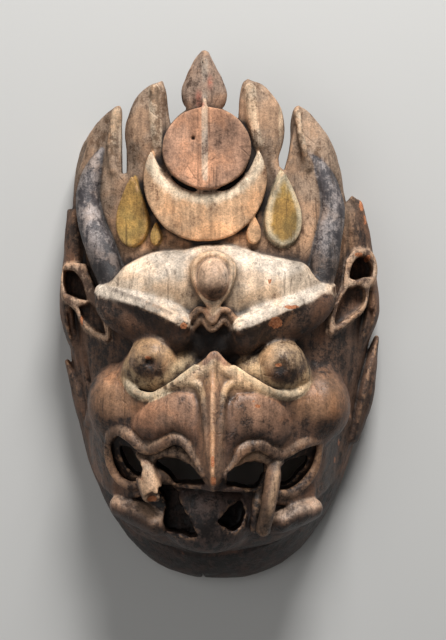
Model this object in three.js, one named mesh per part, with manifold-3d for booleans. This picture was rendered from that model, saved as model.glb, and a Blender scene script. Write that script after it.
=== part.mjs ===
// A carved wooden dance mask of a horned, beaked guardian bird, lying face up on its back rim.
// One block of wood: a deep egg-shaped shell, hollow behind, whose wall runs up into a crown of
// flame leaves with a sun disc and a crescent. The hollow is open at the back and at the crown.
// Frame, in millimetres: +Z out of the face, +Y towards the crown, +X to the right as one looks at
// the face, z = 0 on the plane of the back rim, x = y = 0 at the middle of the outline.

import * as THREE from 'three';
import Module from 'manifold-3d';
import { mergeVertices } from 'three/addons/utils/BufferGeometryUtils.js';

const wasm = await Module();
wasm.setup();

// Driving sizes
const MASK_HEIGHT = 380; // tip of the crown to the edge of the chin
const WALL = 14; // wood between the face and the hollow
const CHIN_WALL = 30; // thicker wood below the mouth
const RIM_WIDTH = 13; // flat back edge at the sides, which the mask lies on

// The carving is laid out on a grid of 380 steps from chin to crown, so it follows the height.
const GRID_STEPS = 380;
const step = MASK_HEIGHT / GRID_STEPS;
const at = (x, y, z) => new THREE.Vector3(x, y, z).multiplyScalar(step);

// The shell in grid steps. It is widest and deepest a little above its middle.
const SHELL = {
  widestY: 20,
  chinY: -190,
  crownY: 200,
  halfWidth: 110,
  depth: 88,
  crownNarrowing: 12,
  crownLean: 12,
  endRoundness: 2.35,
  sectionRoundness: 2.3,
};
const ABOVE_FACE = 200; // clear of everything in front of the face
const BELOW_RIM = -20; // clear of everything behind the rim
const SAME_POINT = 0.05; // outline points nearer than this are one

// Turns a closed three.js geometry into a solid with its faces outwards.
function solidOf(geometry) {
  const bare = geometry.clone();
  bare.deleteAttribute('normal');
  bare.deleteAttribute('uv');
  const merged = mergeVertices(bare, 1e-4);
  const vertProperties = new Float32Array(merged.attributes.position.array);
  const triVerts = new Uint32Array(merged.index.array);
  const solid = new wasm.Manifold(new wasm.Mesh({ numProp: 3, vertProperties, triVerts }));
  if (solid.volume() > 0) return solid;
  for (let i = 0; i < triVerts.length; i += 3) {
    [triVerts[i + 1], triVerts[i + 2]] = [triVerts[i + 2], triVerts[i + 1]];
  }
  return new wasm.Manifold(new wasm.Mesh({ numProp: 3, vertProperties, triVerts }));
}

// Skins a row of rings of equal length, each closed on itself, and closes both ends on a point.
function loft(rings, startPoint, endPoint) {
  const count = rings[0].length;
  const points = [startPoint, ...rings.flat(), endPoint];
  const last = points.length - 1;
  const corner = (ring, k) => 1 + ring * count + (k % count);
  const faces = [];
  for (let k = 0; k < count; k += 1) {
    faces.push(0, corner(0, k + 1), corner(0, k));
    faces.push(last, corner(rings.length - 1, k), corner(rings.length - 1, k + 1));
    for (let ring = 0; ring < rings.length - 1; ring += 1) {
      const [a, b] = [corner(ring, k), corner(ring, k + 1)];
      const [c, d] = [corner(ring + 1, k), corner(ring + 1, k + 1)];
      faces.push(a, b, d, a, d, c);
    }
  }
  const geometry = new THREE.BufferGeometry().setFromPoints(points);
  geometry.setIndex(faces);
  return solidOf(geometry);
}

const circle = (sides) => Array.from({ length: sides }, (_, k) => {
  const angle = (2 * Math.PI * k) / sides;
  return [Math.cos(angle), Math.sin(angle)];
});

// A carved rope, horn, tooth or ridge: a section swept through stations [x, y, z, half width,
// half depth]. The section's first axis points down for a path that runs to the right, and its
// second axis stays as near to +Z as the path allows.
function sweep(stations, { profile = circle(6), rings = 1, round = true } = {}) {
  const path = new THREE.CatmullRomCurve3(
    stations.map(([x, y, z]) => at(x, y, z)), false, 'catmullrom');
  const sizes = new THREE.CatmullRomCurve3(
    stations.map(([, , , wide, deep = wide]) => at(wide, deep, 0)), false, 'catmullrom');
  const total = (stations.length - 1) * rings;
  const sectionAt = (t, shrink, shift) => {
    const centre = path.getPoint(t);
    const along = path.getTangent(t);
    const out = new THREE.Vector3(0, 0, 1).addScaledVector(along, -along.z);
    out.normalize();
    const side = along.clone().cross(out);
    const size = sizes.getPoint(t);
    centre.addScaledVector(along, shift * Math.min(size.x, size.y));
    const ring = profile.map(([s, n]) => centre.clone()
      .addScaledVector(side, s * shrink * size.x)
      .addScaledVector(out, n * shrink * size.y));
    return { ring, centre };
  };
  const body = Array.from({ length: total + 1 }, (_, k) => sectionAt(k / total, 1, 0).ring);
  if (!round) return loft(body, sectionAt(0, 0, 0).centre, sectionAt(1, 0, 0).centre);
  const rings2 = [sectionAt(0, 0.72, -0.6).ring, ...body, sectionAt(1, 0.72, 0.6).ring];
  return loft(rings2, sectionAt(0, 0, -0.95).centre, sectionAt(1, 0, 0.95).centre);
}

// An egg-like swelling, turned about Z by turn and about Y by lean, in degrees.
function blob([x, y, z], [rx, ry, rz], { turn = 0, lean = 0, sides = 10 } = {}) {
  const geometry = new THREE.SphereGeometry(1, sides, Math.round(sides * 0.6));
  geometry.rotateX(Math.PI / 2);
  const turned = new THREE.Euler(
    0, THREE.MathUtils.degToRad(lean), THREE.MathUtils.degToRad(turn), 'YZX');
  const place = new THREE.Matrix4().compose(
    at(x, y, z), new THREE.Quaternion().setFromEuler(turned), at(rx, ry, rz));
  return solidOf(geometry.applyMatrix4(place));
}

// A flat piece of relief cut to an outline, with a bevelled edge: its back at z, its front thick
// further out, turned about the upright at x to face out sideways by lean, in degrees.
function plate(curved, x, z, thick, { bevel = 1.6, lean = 0, curveSegments = 6 } = {}) {
  const points = curved.getPoints(curveSegments).filter(
    (p, k, all) => p.distanceTo(all[(k + 1) % all.length]) > SAME_POINT);
  const geometry = new THREE.ExtrudeGeometry(new THREE.Shape(points), {
    depth: (thick - bevel) * step,
    bevelEnabled: bevel > 0,
    bevelThickness: bevel * step,
    bevelSize: bevel * step,
    bevelOffset: -bevel * step,
    bevelSegments: 1,
  });
  geometry.translate(-x * step, 0, 0);
  geometry.rotateY(THREE.MathUtils.degToRad(lean));
  geometry.translate(x * step, 0, z * step);
  return solidOf(geometry);
}

// A cutter that runs from behind the rim to in front of the face.
const through = (shape, curveSegments) => plate(
  shape, 0, BELOW_RIM, ABOVE_FACE - BELOW_RIM, { bevel: 0, curveSegments });

// A closed outline of stretches: one point is a straight run to it, more are a smooth curve.
function outline(stretches) {
  const shape = new THREE.Shape();
  const [[start], ...rest] = stretches.map((points) => points.map(
    ([x, y]) => new THREE.Vector2(x * step, y * step)));
  shape.moveTo(start.x, start.y);
  rest.forEach((points) => (points.length > 1
    ? shape.splineThru(points) : shape.lineTo(points[0].x, points[0].y)));
  return shape;
}

// A disc, or where tall isn't 1 an oval whose height is that share of its width.
const discShape = ({ x, y, radius, tall = 1 }, sides = 24) => new THREE.Shape(circle(sides).map(
  ([c, s]) => new THREE.Vector2((x + radius * c) * step, (y + tall * radius * s) * step)));

// The points of a run of stations seen from the front.
const flat = (run) => run.map(([x, y]) => [x, y]);

// The value at a place in a table of places and values, on straight lines between its rows.
function between(table, place) {
  const next = table.findIndex(([p]) => p >= place);
  if (next === 0) return table[0][1];
  if (next < 0) return table[table.length - 1][1];
  const [[p0, v0], [p1, v1]] = [table[next - 1], table[next]];
  return v0 + ((v1 - v0) * (place - p0)) / (p1 - p0);
}

// From 0 before the start to 1 after the end, smoothly.
const ramp = (value, start, end) => THREE.MathUtils.smoothstep(value, start, end);

// A drop with a round foot. It points up where the tip is above the foot, and otherwise down.
function dropShape(x, tipY, footY, halfWidth) {
  const rise = Math.sign(tipY - footY);
  const waistY = footY + rise * halfWidth * 1.2;
  const neckY = tipY - (tipY - footY) * 0.14;
  const to = (side, y) => [(x + side * halfWidth) * step, y * step];
  const shape = new THREE.Shape();
  shape.moveTo(...to(0, tipY));
  shape.bezierCurveTo(...to(-0.3, neckY), ...to(-1, waistY + rise * halfWidth), ...to(-1, waistY));
  shape.bezierCurveTo(...to(-1, footY + rise * 2), ...to(-0.5, footY), ...to(0, footY));
  shape.bezierCurveTo(...to(0.5, footY), ...to(1, footY + rise * 2), ...to(1, waistY));
  shape.bezierCurveTo(...to(1, waistY + rise * halfWidth), ...to(0.3, neckY), ...to(0, tipY));
  return shape;
}

// The part of one disc that lies outside another set higher: a crescent with its horns up. The
// inner edge flares towards the front.
function crescent({ x, lowY, outer, highY, inner, flare }, z, thick) {
  const cutter = new THREE.CylinderGeometry(
    (inner + flare) * step, (inner - flare) * step, thick * 2 * step, 26);
  cutter.rotateX(Math.PI / 2);
  cutter.translate(x * step, highY * step, (z + thick - flare) * step);
  return plate(discShape({ x, y: lowY, radius: outer }, 26), x, z, thick).subtract(solidOf(cutter));
}

// Half width and depth of the shell at a height y, drawn in on the sides, the face and the chin.
function shellSize(y, sideInset, faceInset, chinInset) {
  const below = Math.max(0, SHELL.widestY - y) / (SHELL.widestY - SHELL.chinY - chinInset);
  const above = Math.max(0, y - SHELL.widestY) / (SHELL.crownY - SHELL.widestY);
  const round = SHELL.endRoundness;
  const taper = Math.max(0, 1 - Math.min(1, below) ** round) ** (1 / round);
  return {
    half: (SHELL.halfWidth - sideInset) * taper - SHELL.crownNarrowing * above ** 2,
    deep: (SHELL.depth - faceInset) * taper - SHELL.crownLean * above ** 1.5,
  };
}

// The shell as a filled block: arched sections from the chin up to topY, on walls down to the
// trimming plane behind the rim. The insets are in grid steps.
function shellBlock({ sideInset, faceInset, chinInset, topY, arch, rows }) {
  const chinY = SHELL.chinY + chinInset;
  const power = 2 / SHELL.sectionRoundness;
  const rings = [];
  for (let row = 1; row <= rows; row += 1) {
    const y = chinY + (topY - chinY) * (1 - Math.cos((Math.PI / 2) * (row / rows)));
    const { half, deep } = shellSize(y, sideInset, faceInset, chinInset);
    const ring = [];
    for (let k = 0; k <= arch; k += 1) {
      const angle = Math.PI * (1 - k / arch);
      const [c, s] = [Math.cos(angle), Math.sin(angle)];
      ring.push(at(Math.sign(c) * half * Math.abs(c) ** power, y, deep * Math.abs(s) ** power));
    }
    ring.push(at(half, y, BELOW_RIM), at(-half, y, BELOW_RIM));
    rings.push(ring);
  }
  return loft(rings, at(0, chinY, 0), at(0, topY, 0));
}

const SUN = { x: -8.4, y: 119.2, radius: 30.8, tall: 0.925 };
const MOON = { x: -9.6, lowY: 97.5, outer: 42.8, highY: 127.7, inner: 41.5, flare: 2 };

// The crown seen from the front: two pairs of flame leaves with a slot between them, and the
// finial that stands on the sun disc. Below the crown the outline is wider than the shell.
const crownOutline = () => outline([
  [[-130, -210]], [[130, -210]], [[130, 60]],
  [[111, 60], [107.5, 75], [103, 85], [96, 89.5]], [[91.5, 84]],
  [[89.5, 93], [87.6, 104.7], [82.9, 118.9], [75.9, 133], [65.3, 146], [56.5, 152]],
  [[52.8, 148.6], [51.7, 133], [48.7, 116.6], [46, 106]], [[42.8, 108.5]],
  [[42.3, 118], [45, 127], [46.4, 138.2], [43.5, 150], [36.5, 159.2], [27.2, 166.2], [20.5, 170]],
  [[16.7, 166.2], [14.9, 155.7], [14, 141]], [[6.3, 146.6], [-1.5, 149.8]],
  [[3.2, 150.5], [5.7, 158], [3.9, 166.2], [-1.9, 177.8], [-7, 188.5]], [[-10, 190]],
  [[-13, 188.5], [-17.6, 182.6], [-22.8, 170.8], [-26.1, 161.5], [-25.1, 153.3], [-22, 148.9]],
  [[-28.6, 143.6], [-34, 138]],
  [[-36.5, 150], [-37.3, 161.3], [-39.8, 168.6]],
  [[-48.4, 165], [-58.9, 155.7], [-65.3, 141.7], [-66.4, 131.2], [-65.3, 120.7], [-65.5, 104]],
  [[-68.6, 104]], [[-69, 128], [-69.2, 150], [-72.4, 152.6]],
  [[-80, 147.5], [-90, 138.5], [-99.5, 125], [-104.6, 110], [-106.8, 95], [-107.2, 81]],
  [[-109.5, 80]], [[-112, 70]], [[-130, 70]],
]);

// Sun disc, crescent, finial and jewels, carved proud of the crown.
function crownRelief() {
  const finial = [[-10, 148, 78, 12, 8], [-10.2, 158, 78, 15.5, 9], [-10.2, 168, 77, 12, 8],
    [-10, 178, 76, 7, 7], [-10, 187, 75, 2.5, 4]];
  return [
    plate(discShape(SUN), SUN.x, 70, 28),
    crescent(MOON, 70, 23),
    sweep(finial, { profile: circle(8) }),
    sweep([[-9.5, 92, 97.5, 2.4], [-9.8, 150, 97.5, 2.4], [-10, 182, 84, 1.6]]),
    plate(dropShape(-55.5, 101.6, 51.4, 12.2), -55.5, 66, 16, { lean: -22 }),
    plate(dropShape(41.2, 105, 51.2, 13.8), 41.2, 70, 16, { lean: 17 }),
    plate(dropShape(-41.4, 69, 52.4, 3.8), -41.4, 74, 13, { lean: -14, bevel: 0.5, curveSegments: 4 }),
    plate(dropShape(23.2, 73.4, 53, 5), 23.2, 78, 13, { lean: 7, bevel: 0.5, curveSegments: 4 }),
    // the swelling faces of the four leaves
    blob([-51, 138, 71], [13, 27, 10], { turn: -12, lean: -18, sides: 9 }),
    blob([31, 140, 76], [13, 27, 9], { turn: 14, lean: 12, sides: 9 }),
    blob([-88, 112, 44], [11, 34, 10], { turn: -20, lean: -38, sides: 9 }),
    blob([69, 116, 58], [13, 34, 10], { turn: 24, lean: 30, sides: 9 }),
  ];
}

const HORNS = [
  [[-75.9, 29, 73, 10], [-83, 49, 67, 11], [-89.5, 66, 61, 10], [-93.5, 86, 57, 8.2],
    [-90.5, 103, 56, 6.8], [-87, 112, 56, 4.8], [-82.5, 120.5, 57, 1.8]],
  [[72, 29, 75, 9.5], [75.8, 49, 71, 10], [80.5, 74, 66, 8.8], [79, 88, 65, 7.8],
    [75.5, 99, 65, 6.6], [67.5, 112, 66, 4.4], [58.5, 121.5, 69, 1.8]],
];

// An ear: a leaf of wood along the temple, folded forward, with two hollows.
const EARS = [
  { leaf: [[-104, 34, 40, 11, 18], [-98, 14, 46, 11, 16], [-86, -8, 52, 6, 9]],
    hollows: [{ at: [-103, 30, 62], size: [7, 9, 20] }, { at: [-93, 6, 65], size: [5, 6, 12] }] },
  { leaf: [[101, 40, 40, 11, 18], [98, 16, 46, 11, 16], [84, -5, 52, 6, 9]],
    hollows: [{ at: [101, 34, 62], size: [8, 8, 20] }, { at: [95, 15, 65], size: [5, 6, 12] }] },
];

// Flames of hair along the sides: thin tongues, tall in Z, that end in a free tip.
const HAIR = [
  [[-92, -86, 18, 5, 18], [-98, -62, 20, 7, 20], [-104, -44, 21, 5, 16], [-110.5, -30, 22, 1.6, 7]],
  [[-97, -50, 20, 5, 18], [-100, -25, 22, 6, 20], [-107, -7, 23, 6, 22], [-109.5, 12, 24, 6, 22],
    [-108, 38, 24, 5, 22],
    [-107, 62, 24, 4, 20], [-108.5, 79, 24, 1.6, 10]],
  [[97, -84, 18, 6, 18], [104, -58, 20, 8, 20], [109, -36, 21, 6, 17], [114.8, -13, 22, 1.6, 7]],
  [[98, -40, 20, 5, 18], [102.5, -16, 22, 6, 20], [109, 0, 23, 6, 22], [110.5, 14, 24, 6, 22],
    [108, 40, 24, 5, 22],
    [105, 64, 24, 4, 22], [101, 84, 26, 3, 16]],
];

// Brow: a beam whose lit ledge slopes back into the forehead and whose underside hangs forward.
const BROW_SECTION = [[-8, -22], [-6, -2], [-1, 7], [3, 7], [18, -6], [20, -22]];
const BROWS = [
  [[-84, 21, 78, 0.72], [-64, 15, 92, 0.95], [-42, 7, 101, 1], [-22, -3, 107, 0.75]],
  [[13, -6, 107, 0.75], [34, 3, 101, 1], [58, 14, 91, 0.95], [79, 25, 76, 0.72]],
];

const EYES = [[-45, -28, 88], [43, -31, 88]];
const EYE_RADIUS = 17.5;

const BAND = circle(5).map(([s, n]) => [n, s]); // the section of lips and folds, a ridge on top

// Bands on the muzzle, as stations [x, y, half width]. A lid runs under each eye.
const LIDS = [
  [[-62, -32, 2.4], [-63, -42.5, 3], [-57.5, -51, 3.3], [-47, -54, 3.3], [-37.2, -49.5, 3],
    [-27.5, -41.5, 2.6], [-16, -31.5, 2]],
  [[10, -32.5, 2], [27, -44, 2.6], [37.7, -50.5, 3], [50.3, -52.5, 3.3], [59.5, -47, 3], [62, -36, 2.4]],
];
const BEAK_FOLDS = [
  [[-40, -49.5, 2.6], [-28.5, -44, 3], [-18.5, -42.5, 3], [-12, -48, 3], [-10.3, -60, 2.6], [-9, -80, 2.2]],
  [[1.6, -80, 2.2], [2.6, -60, 2.6], [4.3, -49, 3], [10.5, -43.5, 3], [21, -45.5, 3], [32.5, -51, 2.6]],
];
const BEAK_CAP = [[-17, -36, 2.4], [-9, -29, 3], [-2.8, -24, 3], [4, -29, 3], [12, -37, 2.4]];
const UPPER_LIPS = [
  [[-76, -81, 2.8], [-70.3, -77.4, 3.2], [-63, -80.3, 3.3], [-54, -87.8, 3.4], [-47, -89.5, 3.4],
    [-39, -86, 3.4], [-31, -82, 3.4], [-23, -84.5, 3.2], [-15.5, -95, 2.8], [-9.5, -106, 2]],
  [[3.2, -106, 2], [8.5, -98.5, 2.8], [14.5, -91, 3.2], [22, -87, 3.4], [29.5, -86.8, 3.4],
    [36, -91, 3.4], [43, -93.5, 3.4], [50, -90.5, 3.3], [58, -86.5, 3], [70, -84, 2.4]],
];
const MOUTH_CORNERS = [
  [[-76, -81, 2.8], [-78.5, -90, 2.9], [-77, -102, 3.2], [-71.5, -112, 3.4], [-62.5, -117, 3.4],
    [-52, -114.5, 3]],
  [[39, -121, 3], [49, -121.5, 3.3], [58, -117, 3.3], [66, -108, 3.1], [70.5, -97, 2.6], [71.5, -88, 2.2]],
];
// A second wave of lip inside each upper lip, as stations [x, y, z, half width].
const INNER_LIPS = [
  [[-50, -98.5, 88, 3.4], [-39, -92.5, 93, 3.6], [-30, -92.5, 97, 3.6], [-21, -98, 101, 3.4],
    [-13, -106, 106, 2.8]],
  [[6, -107, 106, 2.8], [13.6, -99.5, 101, 3.4], [21, -95, 97, 3.6], [29, -95, 94, 3.6],
    [41.5, -102, 88, 3.4]],
];

// The muzzle: one mass between the eyes and the lips, from cheek to cheek. Its front is given at
// distances from the beak's line, and the ridge and flanks of the beak at distances down from y = 0.
const MUZZLE = {
  middleX: -3.5,
  back: 30,
  front: [[0, 116], [14, 116], [30, 111], [45, 103], [60, 95], [70, 87], [79, 74], [86, 58], [92, 36]],
  ridge: [[20, 108], [30, 119], [45, 125], [65, 129], [85, 133], [104, 138], [111, 137], [116, 128]],
  slope: [[25, 1.3], [45, 0.9], [70, 0.85], [90, 1.1], [110, 2.1]],
  columns: [-98, -89, -80, -70, -57, -44, -32, -22, -12, -4.1, 4, 14, 25, 38, 51, 63, 73, 81, 89, 97],
  rows: [-134, -120, -112, -104, -94, -80, -64, -48, -36, -27, -18],
  leftCheek: [[-66, -31], [-76, -32], [-85, -42], [-92, -56], [-97, -76], [-95, -96], [-88, -112],
    [-76, -124], [-62, -126], [-50, -122]],
  rightCheek: [[39, -128], [54, -131], [70, -127], [84, -114], [92, -98], [96, -78], [92, -58],
    [85, -44], [76, -35], [66, -33]],
  apex: [-2.6, -22],
  tip: [-3.6, -115],
};
const GUM_DEPTH = 12; // how far the floor of the mouth lies behind the muzzle
const GUM_SPREAD = 1.04; // the floor reaches a little under the lips on every side

function muzzleFront(x, y) {
  const off = Math.abs(x - MUZZLE.middleX);
  const base = between(MUZZLE.front, off)
    - 17 * ramp(-y, 82, 122) * ramp(off, 15, 40)
    - 15 * ramp(y, -54, -26) * ramp(off, 28, 60);
  const flank = between(MUZZLE.ridge, -y) - between(MUZZLE.slope, -y) * Math.abs(x - MUZZLE.middleX + 0.6);
  return Math.max(base, flank);
}

const onMuzzle = (run, lift) => run.map(
  ([x, y, half]) => [x, y, muzzleFront(x, y) + lift, half, half * 0.8]);

// What lies between the muzzle's front, moved back, and a plane behind it, within an outline.
function muzzleBlock(points, setBack) {
  const { columns, rows, back } = MUZZLE;
  const rings = rows.map((y) => [
    ...columns.map((x) => at(x, y, muzzleFront(x, y) - setBack)),
    at(columns[columns.length - 1], y, back), at(columns[0], y, back)]);
  const ends = [rows[0], rows[rows.length - 1]].map((y) => at(0, y, back + 10));
  const shape = outline(points.map((point) => [point]));
  return loft(rings, ends[0], ends[1]).intersect(through(shape, 1));
}

function muzzle() {
  const [leftLid, rightLid] = LIDS.map((lid) => flat(lid).reverse());
  const corners = MOUTH_CORNERS.map(flat);
  const lips = UPPER_LIPS.map(flat);
  const skin = [
    MUZZLE.apex, ...leftLid, ...MUZZLE.leftCheek, ...[...corners[0]].reverse(), ...lips[0].slice(1),
    MUZZLE.tip, ...lips[1], ...[...corners[1]].reverse(), ...MUZZLE.rightCheek, ...rightLid];
  const mouth = [
    ...corners[0], ...corners[1], ...[...lips[1]].reverse(), MUZZLE.tip,
    ...[...lips[0]].reverse().slice(0, -1),
  ].map(([x, y]) => [x * GUM_SPREAD, -100 + (y + 100) * GUM_SPREAD]);
  return [muzzleBlock(skin, 0), muzzleBlock(mouth, GUM_DEPTH)];
}

// The face between the brows and the lips.
function faceRelief() {
  const brows = BROWS.map((stations) => sweep(stations, { profile: BROW_SECTION, round: false }));
  const noseRoot = [[-21, -1, 103, 2.8], [-12.2, 6.5, 107, 2.8], [-4.3, -2.5, 109, 2.8],
    [4.6, 5.5, 107, 2.8], [13, -3, 103, 2.8]];
  return [
    ...EYES.map((ball) => blob(ball, [EYE_RADIUS, EYE_RADIUS, EYE_RADIUS + 3])),
    // the floor of each socket, between the ball and its lid
    blob([-40, -35, 80], [26, 20, 19], { sides: 8 }),
    blob([37, -38, 80], [26, 20, 19], { sides: 8 }),
    ...brows,
    blob([-3, 23, 68], [84, 34, 38], { sides: 12 }),
    plate(dropShape(-3.8, 4, 47.5, 16), -3.8, 94, 17, { bevel: 2.5 }),
    blob([-3.8, 28, 107], [11.5, 15, 15]),
    sweep(noseRoot),
    ...muzzle(),
    // cheeks and the swellings beside the beak
    blob([-71, -60, 66], [22, 27, 26], { turn: 8 }),
    blob([70, -61, 66], [23, 27, 27], { turn: -8 }),
    blob([-35, -66, 90], [25, 17, 26], { turn: -8 }),
    blob([29, -67, 90], [25, 17, 26], { turn: 8 }),
    ...[...LIDS, ...BEAK_FOLDS, BEAK_CAP].map((run) => sweep(onMuzzle(run, 0.5), { profile: BAND })),
  ];
}

// Teeth: a long fang on the right with a ridge beside it, and the stump of the broken one.
const TEETH = [
  [[41, -97, 93, 6], [37, -110, 101, 5], [34, -128, 102, 4.4], [31.5, -145, 93, 5]],
  [[27, -116, 86, 4], [25.5, -130, 92, 4.2], [25, -146, 86, 5]],
  [[-50, -101, 92, 6.5], [-49.5, -109, 99, 6.2], [-48, -118, 101, 5.8]],
  [[-47, -106, 94, 6], [-36, -110, 92, 5], [-28, -116, 86, 3.5]],
];
const LOWER_LIP = [
  [[-67, -132, 65, 9, 13], [-55, -137, 72, 9.5, 14], [-43, -143.5, 78, 8.5, 13]],
  [[43, -142, 78, 8, 13], [53, -137, 72, 9.5, 14], [63, -134, 65, 8.5, 13]],
];

function mouthRelief() {
  return [
    ...[...UPPER_LIPS, ...MOUTH_CORNERS].map((run) => sweep(onMuzzle(run, 0.2), { profile: BAND })),
    ...INNER_LIPS.map((stations) => sweep(stations, { profile: BAND })),
    ...[...TEETH, ...LOWER_LIP].map((stations) => sweep(stations)),
    // jaw, and the lower beak in front of it
    blob([-3, -134, 50], [68, 31, 36], { sides: 12 }),
    blob([-8, -139, 66], [26, 27, 29], { sides: 12 }),
  ];
}

// The four openings of the mouth, seen from the front.
const MOUTH_OPENINGS = [
  [[[-69.5, -88]], [[-63, -88.5], [-57, -95], [-53.5, -101], [-53.5, -109]],
    [[-58, -109], [-64, -104], [-68.5, -96], [-69.5, -88]]],
  [[[-43.5, -100.5]], [[-41.5, -96.5], [-30, -96], [-19, -100.5], [-8, -113]],
    [[-30, -114]], [[-34, -108], [-43.5, -100.5]]],
  [[[5.5, -104.5]], [[15, -99.5], [24, -98.2], [31.5, -99.8]], [[31.5, -107.5]],
    [[27, -116], [20, -117.5], [10, -115], [5.5, -114.5]]],
  [[[43.5, -101.5]], [[53, -96.5], [62.5, -95.5]], [[62, -101], [55.5, -108], [49, -115], [43, -115.5]]],
];

// What is carved into the face: eye sockets, the nose bridge and the pits beside the lower beak.
const sockets = () => [
  blob([-45, -22, 100], [27, 19, 22]),
  blob([43, -25, 100], [27, 19, 22]),
  blob([-4, -13, 99], [24, 12, 19]),
];
const pits = () => [
  blob([-31, -130, 88], [9.5, 17, 26], { turn: 20, sides: 9 }),
  blob([13, -137, 90], [8.5, 9, 24], { turn: -25, sides: 9 }),
];
// A season crack that runs up from the chin.
const crack = () => through(outline([[[-12.6, -200]], [[-9.4, -200]], [[-11.4, -181]]]), 2);

function carveMask() {
  const front = { sideInset: 0, faceInset: 0, chinInset: 0, topY: SHELL.crownY, arch: 16, rows: 14 };
  const hollow = {
    sideInset: RIM_WIDTH / step,
    faceInset: WALL / step,
    chinInset: CHIN_WALL / step,
    topY: SHELL.crownY + 10,
    arch: 11,
    rows: 11,
  };
  const join = (solid, more) => more.reduce((all, one) => all.add(one), solid);
  const cut = (solid, more) => more.reduce((all, one) => all.subtract(one), solid);
  let mask = shellBlock(front).intersect(through(crownOutline(), 2));
  mask = cut(mask, sockets());
  mask = join(mask, [...faceRelief(), ...mouthRelief(), ...crownRelief()]);
  const sides = [...HORNS, ...HAIR, ...EARS.map((ear) => ear.leaf)];
  mask = join(mask, sides.map((stations) => sweep(stations)));
  mask = cut(mask, EARS.flatMap((ear) => ear.hollows.map((h) => blob(h.at, h.size, { sides: 9 }))));
  mask = cut(mask, [...pits(), crack(), shellBlock(hollow)]);
  mask = cut(mask, MOUTH_OPENINGS.map((stretches) => through(outline(stretches), 2)));
  const behindRim = solidOf(new THREE.BoxGeometry(400 * step, 500 * step, 100 * step)
    .translate(0, 0, -50 * step));
  return mask.subtract(behindRim);
}

// The solid as a three.js geometry.
function geometryOf(solid) {
  const mesh = solid.getMesh();
  const geometry = new THREE.BufferGeometry();
  geometry.setAttribute('position', new THREE.BufferAttribute(mesh.vertProperties, 3));
  geometry.setIndex(new THREE.BufferAttribute(mesh.triVerts, 1));
  return geometry.toNonIndexed();
}

const wood = new THREE.MeshStandardMaterial({ color: 0x6e5240, roughness: 0.75, metalness: 0 });
const geometry = geometryOf(carveMask());
geometry.computeVertexNormals();
const mask = new THREE.Mesh(geometry, wood);
mask.name = 'mask';
const group = new THREE.Group();
group.add(mask);
export default group;
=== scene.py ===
import math

import bpy
import numpy as np
import openvdb
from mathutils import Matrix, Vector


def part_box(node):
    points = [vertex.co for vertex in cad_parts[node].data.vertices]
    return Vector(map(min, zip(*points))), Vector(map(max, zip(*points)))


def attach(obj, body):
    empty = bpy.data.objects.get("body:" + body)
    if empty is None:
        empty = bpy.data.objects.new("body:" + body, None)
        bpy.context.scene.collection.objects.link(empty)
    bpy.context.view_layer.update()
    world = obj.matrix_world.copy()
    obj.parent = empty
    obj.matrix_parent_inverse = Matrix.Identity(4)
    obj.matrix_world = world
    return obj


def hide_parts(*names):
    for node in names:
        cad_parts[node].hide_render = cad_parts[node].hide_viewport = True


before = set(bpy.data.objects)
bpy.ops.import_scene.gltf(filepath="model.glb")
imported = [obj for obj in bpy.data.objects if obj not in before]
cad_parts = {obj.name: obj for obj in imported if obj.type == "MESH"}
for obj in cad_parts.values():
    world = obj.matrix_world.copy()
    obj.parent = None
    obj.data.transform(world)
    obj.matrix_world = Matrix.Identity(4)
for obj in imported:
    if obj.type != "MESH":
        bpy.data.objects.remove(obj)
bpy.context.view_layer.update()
low_corner, high_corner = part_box("mask")

# The carving is laid out in steps, 380 of them from the chin to the tip of the crown.
STEP = (high_corner.y - low_corner.y) / 380
GRID_CELL = 1.05
MOST_TRIANGLES = 196000

# The shell in steps, as in the CAD: widest and deepest a little above its middle.
WIDEST_Y = 20
CHIN_Y = -190
CROWN_Y = 200
HALF_WIDTH = 110
DEPTH = 88
CROWN_NARROWING = 12
CROWN_LEAN = 12
END_ROUNDNESS = 2.35
SECTION_ROUNDNESS = 2.3
WALL = 14
CHIN_WALL = 30
RIM_WIDTH = 13


class Form:
    """A shape in steps: the box it lies in, and how far points are from its surface."""

    def __init__(self, low, high, distance):
        self.low = low
        self.high = high
        self.distance = distance


def soft_least(a, b, soft):
    share = np.clip(0.5 + 0.5 * (b - a) / soft, 0, 1)
    return b + (a - b) * share - soft * share * (1 - share)


def soft_most(a, b, soft):
    return -soft_least(-a, -b, soft)


def ramp(value, start, end):
    share = np.clip((value - start) / (end - start), 0, 1)
    return share * share * (3 - 2 * share)


class Block:
    """The wood as a grid: how far each grid point is from the surface, negative inside."""

    def __init__(self, low, high, cell):
        self.cell = cell
        self.axes = [np.arange(a, b, cell, dtype=np.float32) for a, b in zip(low, high)]
        self.field = None

    def points(self, spans=(slice(None),) * 3):
        x, y, z = (axis[span] for axis, span in zip(self.axes, spans))
        return x[:, None, None], y[None, :, None], z[None, None, :]

    def spans(self, form, margin):
        return tuple(
            slice(np.searchsorted(axis, a - margin), np.searchsorted(axis, b + margin))
            for axis, a, b in zip(self.axes, form.low, form.high)
        )

    def join(self, form, soft=1.5):
        spans = self.spans(form, soft + 2)
        shape = form.distance(*self.points(spans))
        self.field[spans] = soft_least(self.field[spans], shape, soft)

    def cut(self, form, soft=1.2):
        spans = self.spans(form, soft + 2)
        shape = form.distance(*self.points(spans))
        self.field[spans] = soft_most(self.field[spans], -shape, soft)

    def keep(self, form, soft=1.2):
        shape = form.distance(*self.points())
        self.field = soft_most(self.field, shape, soft)


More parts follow.
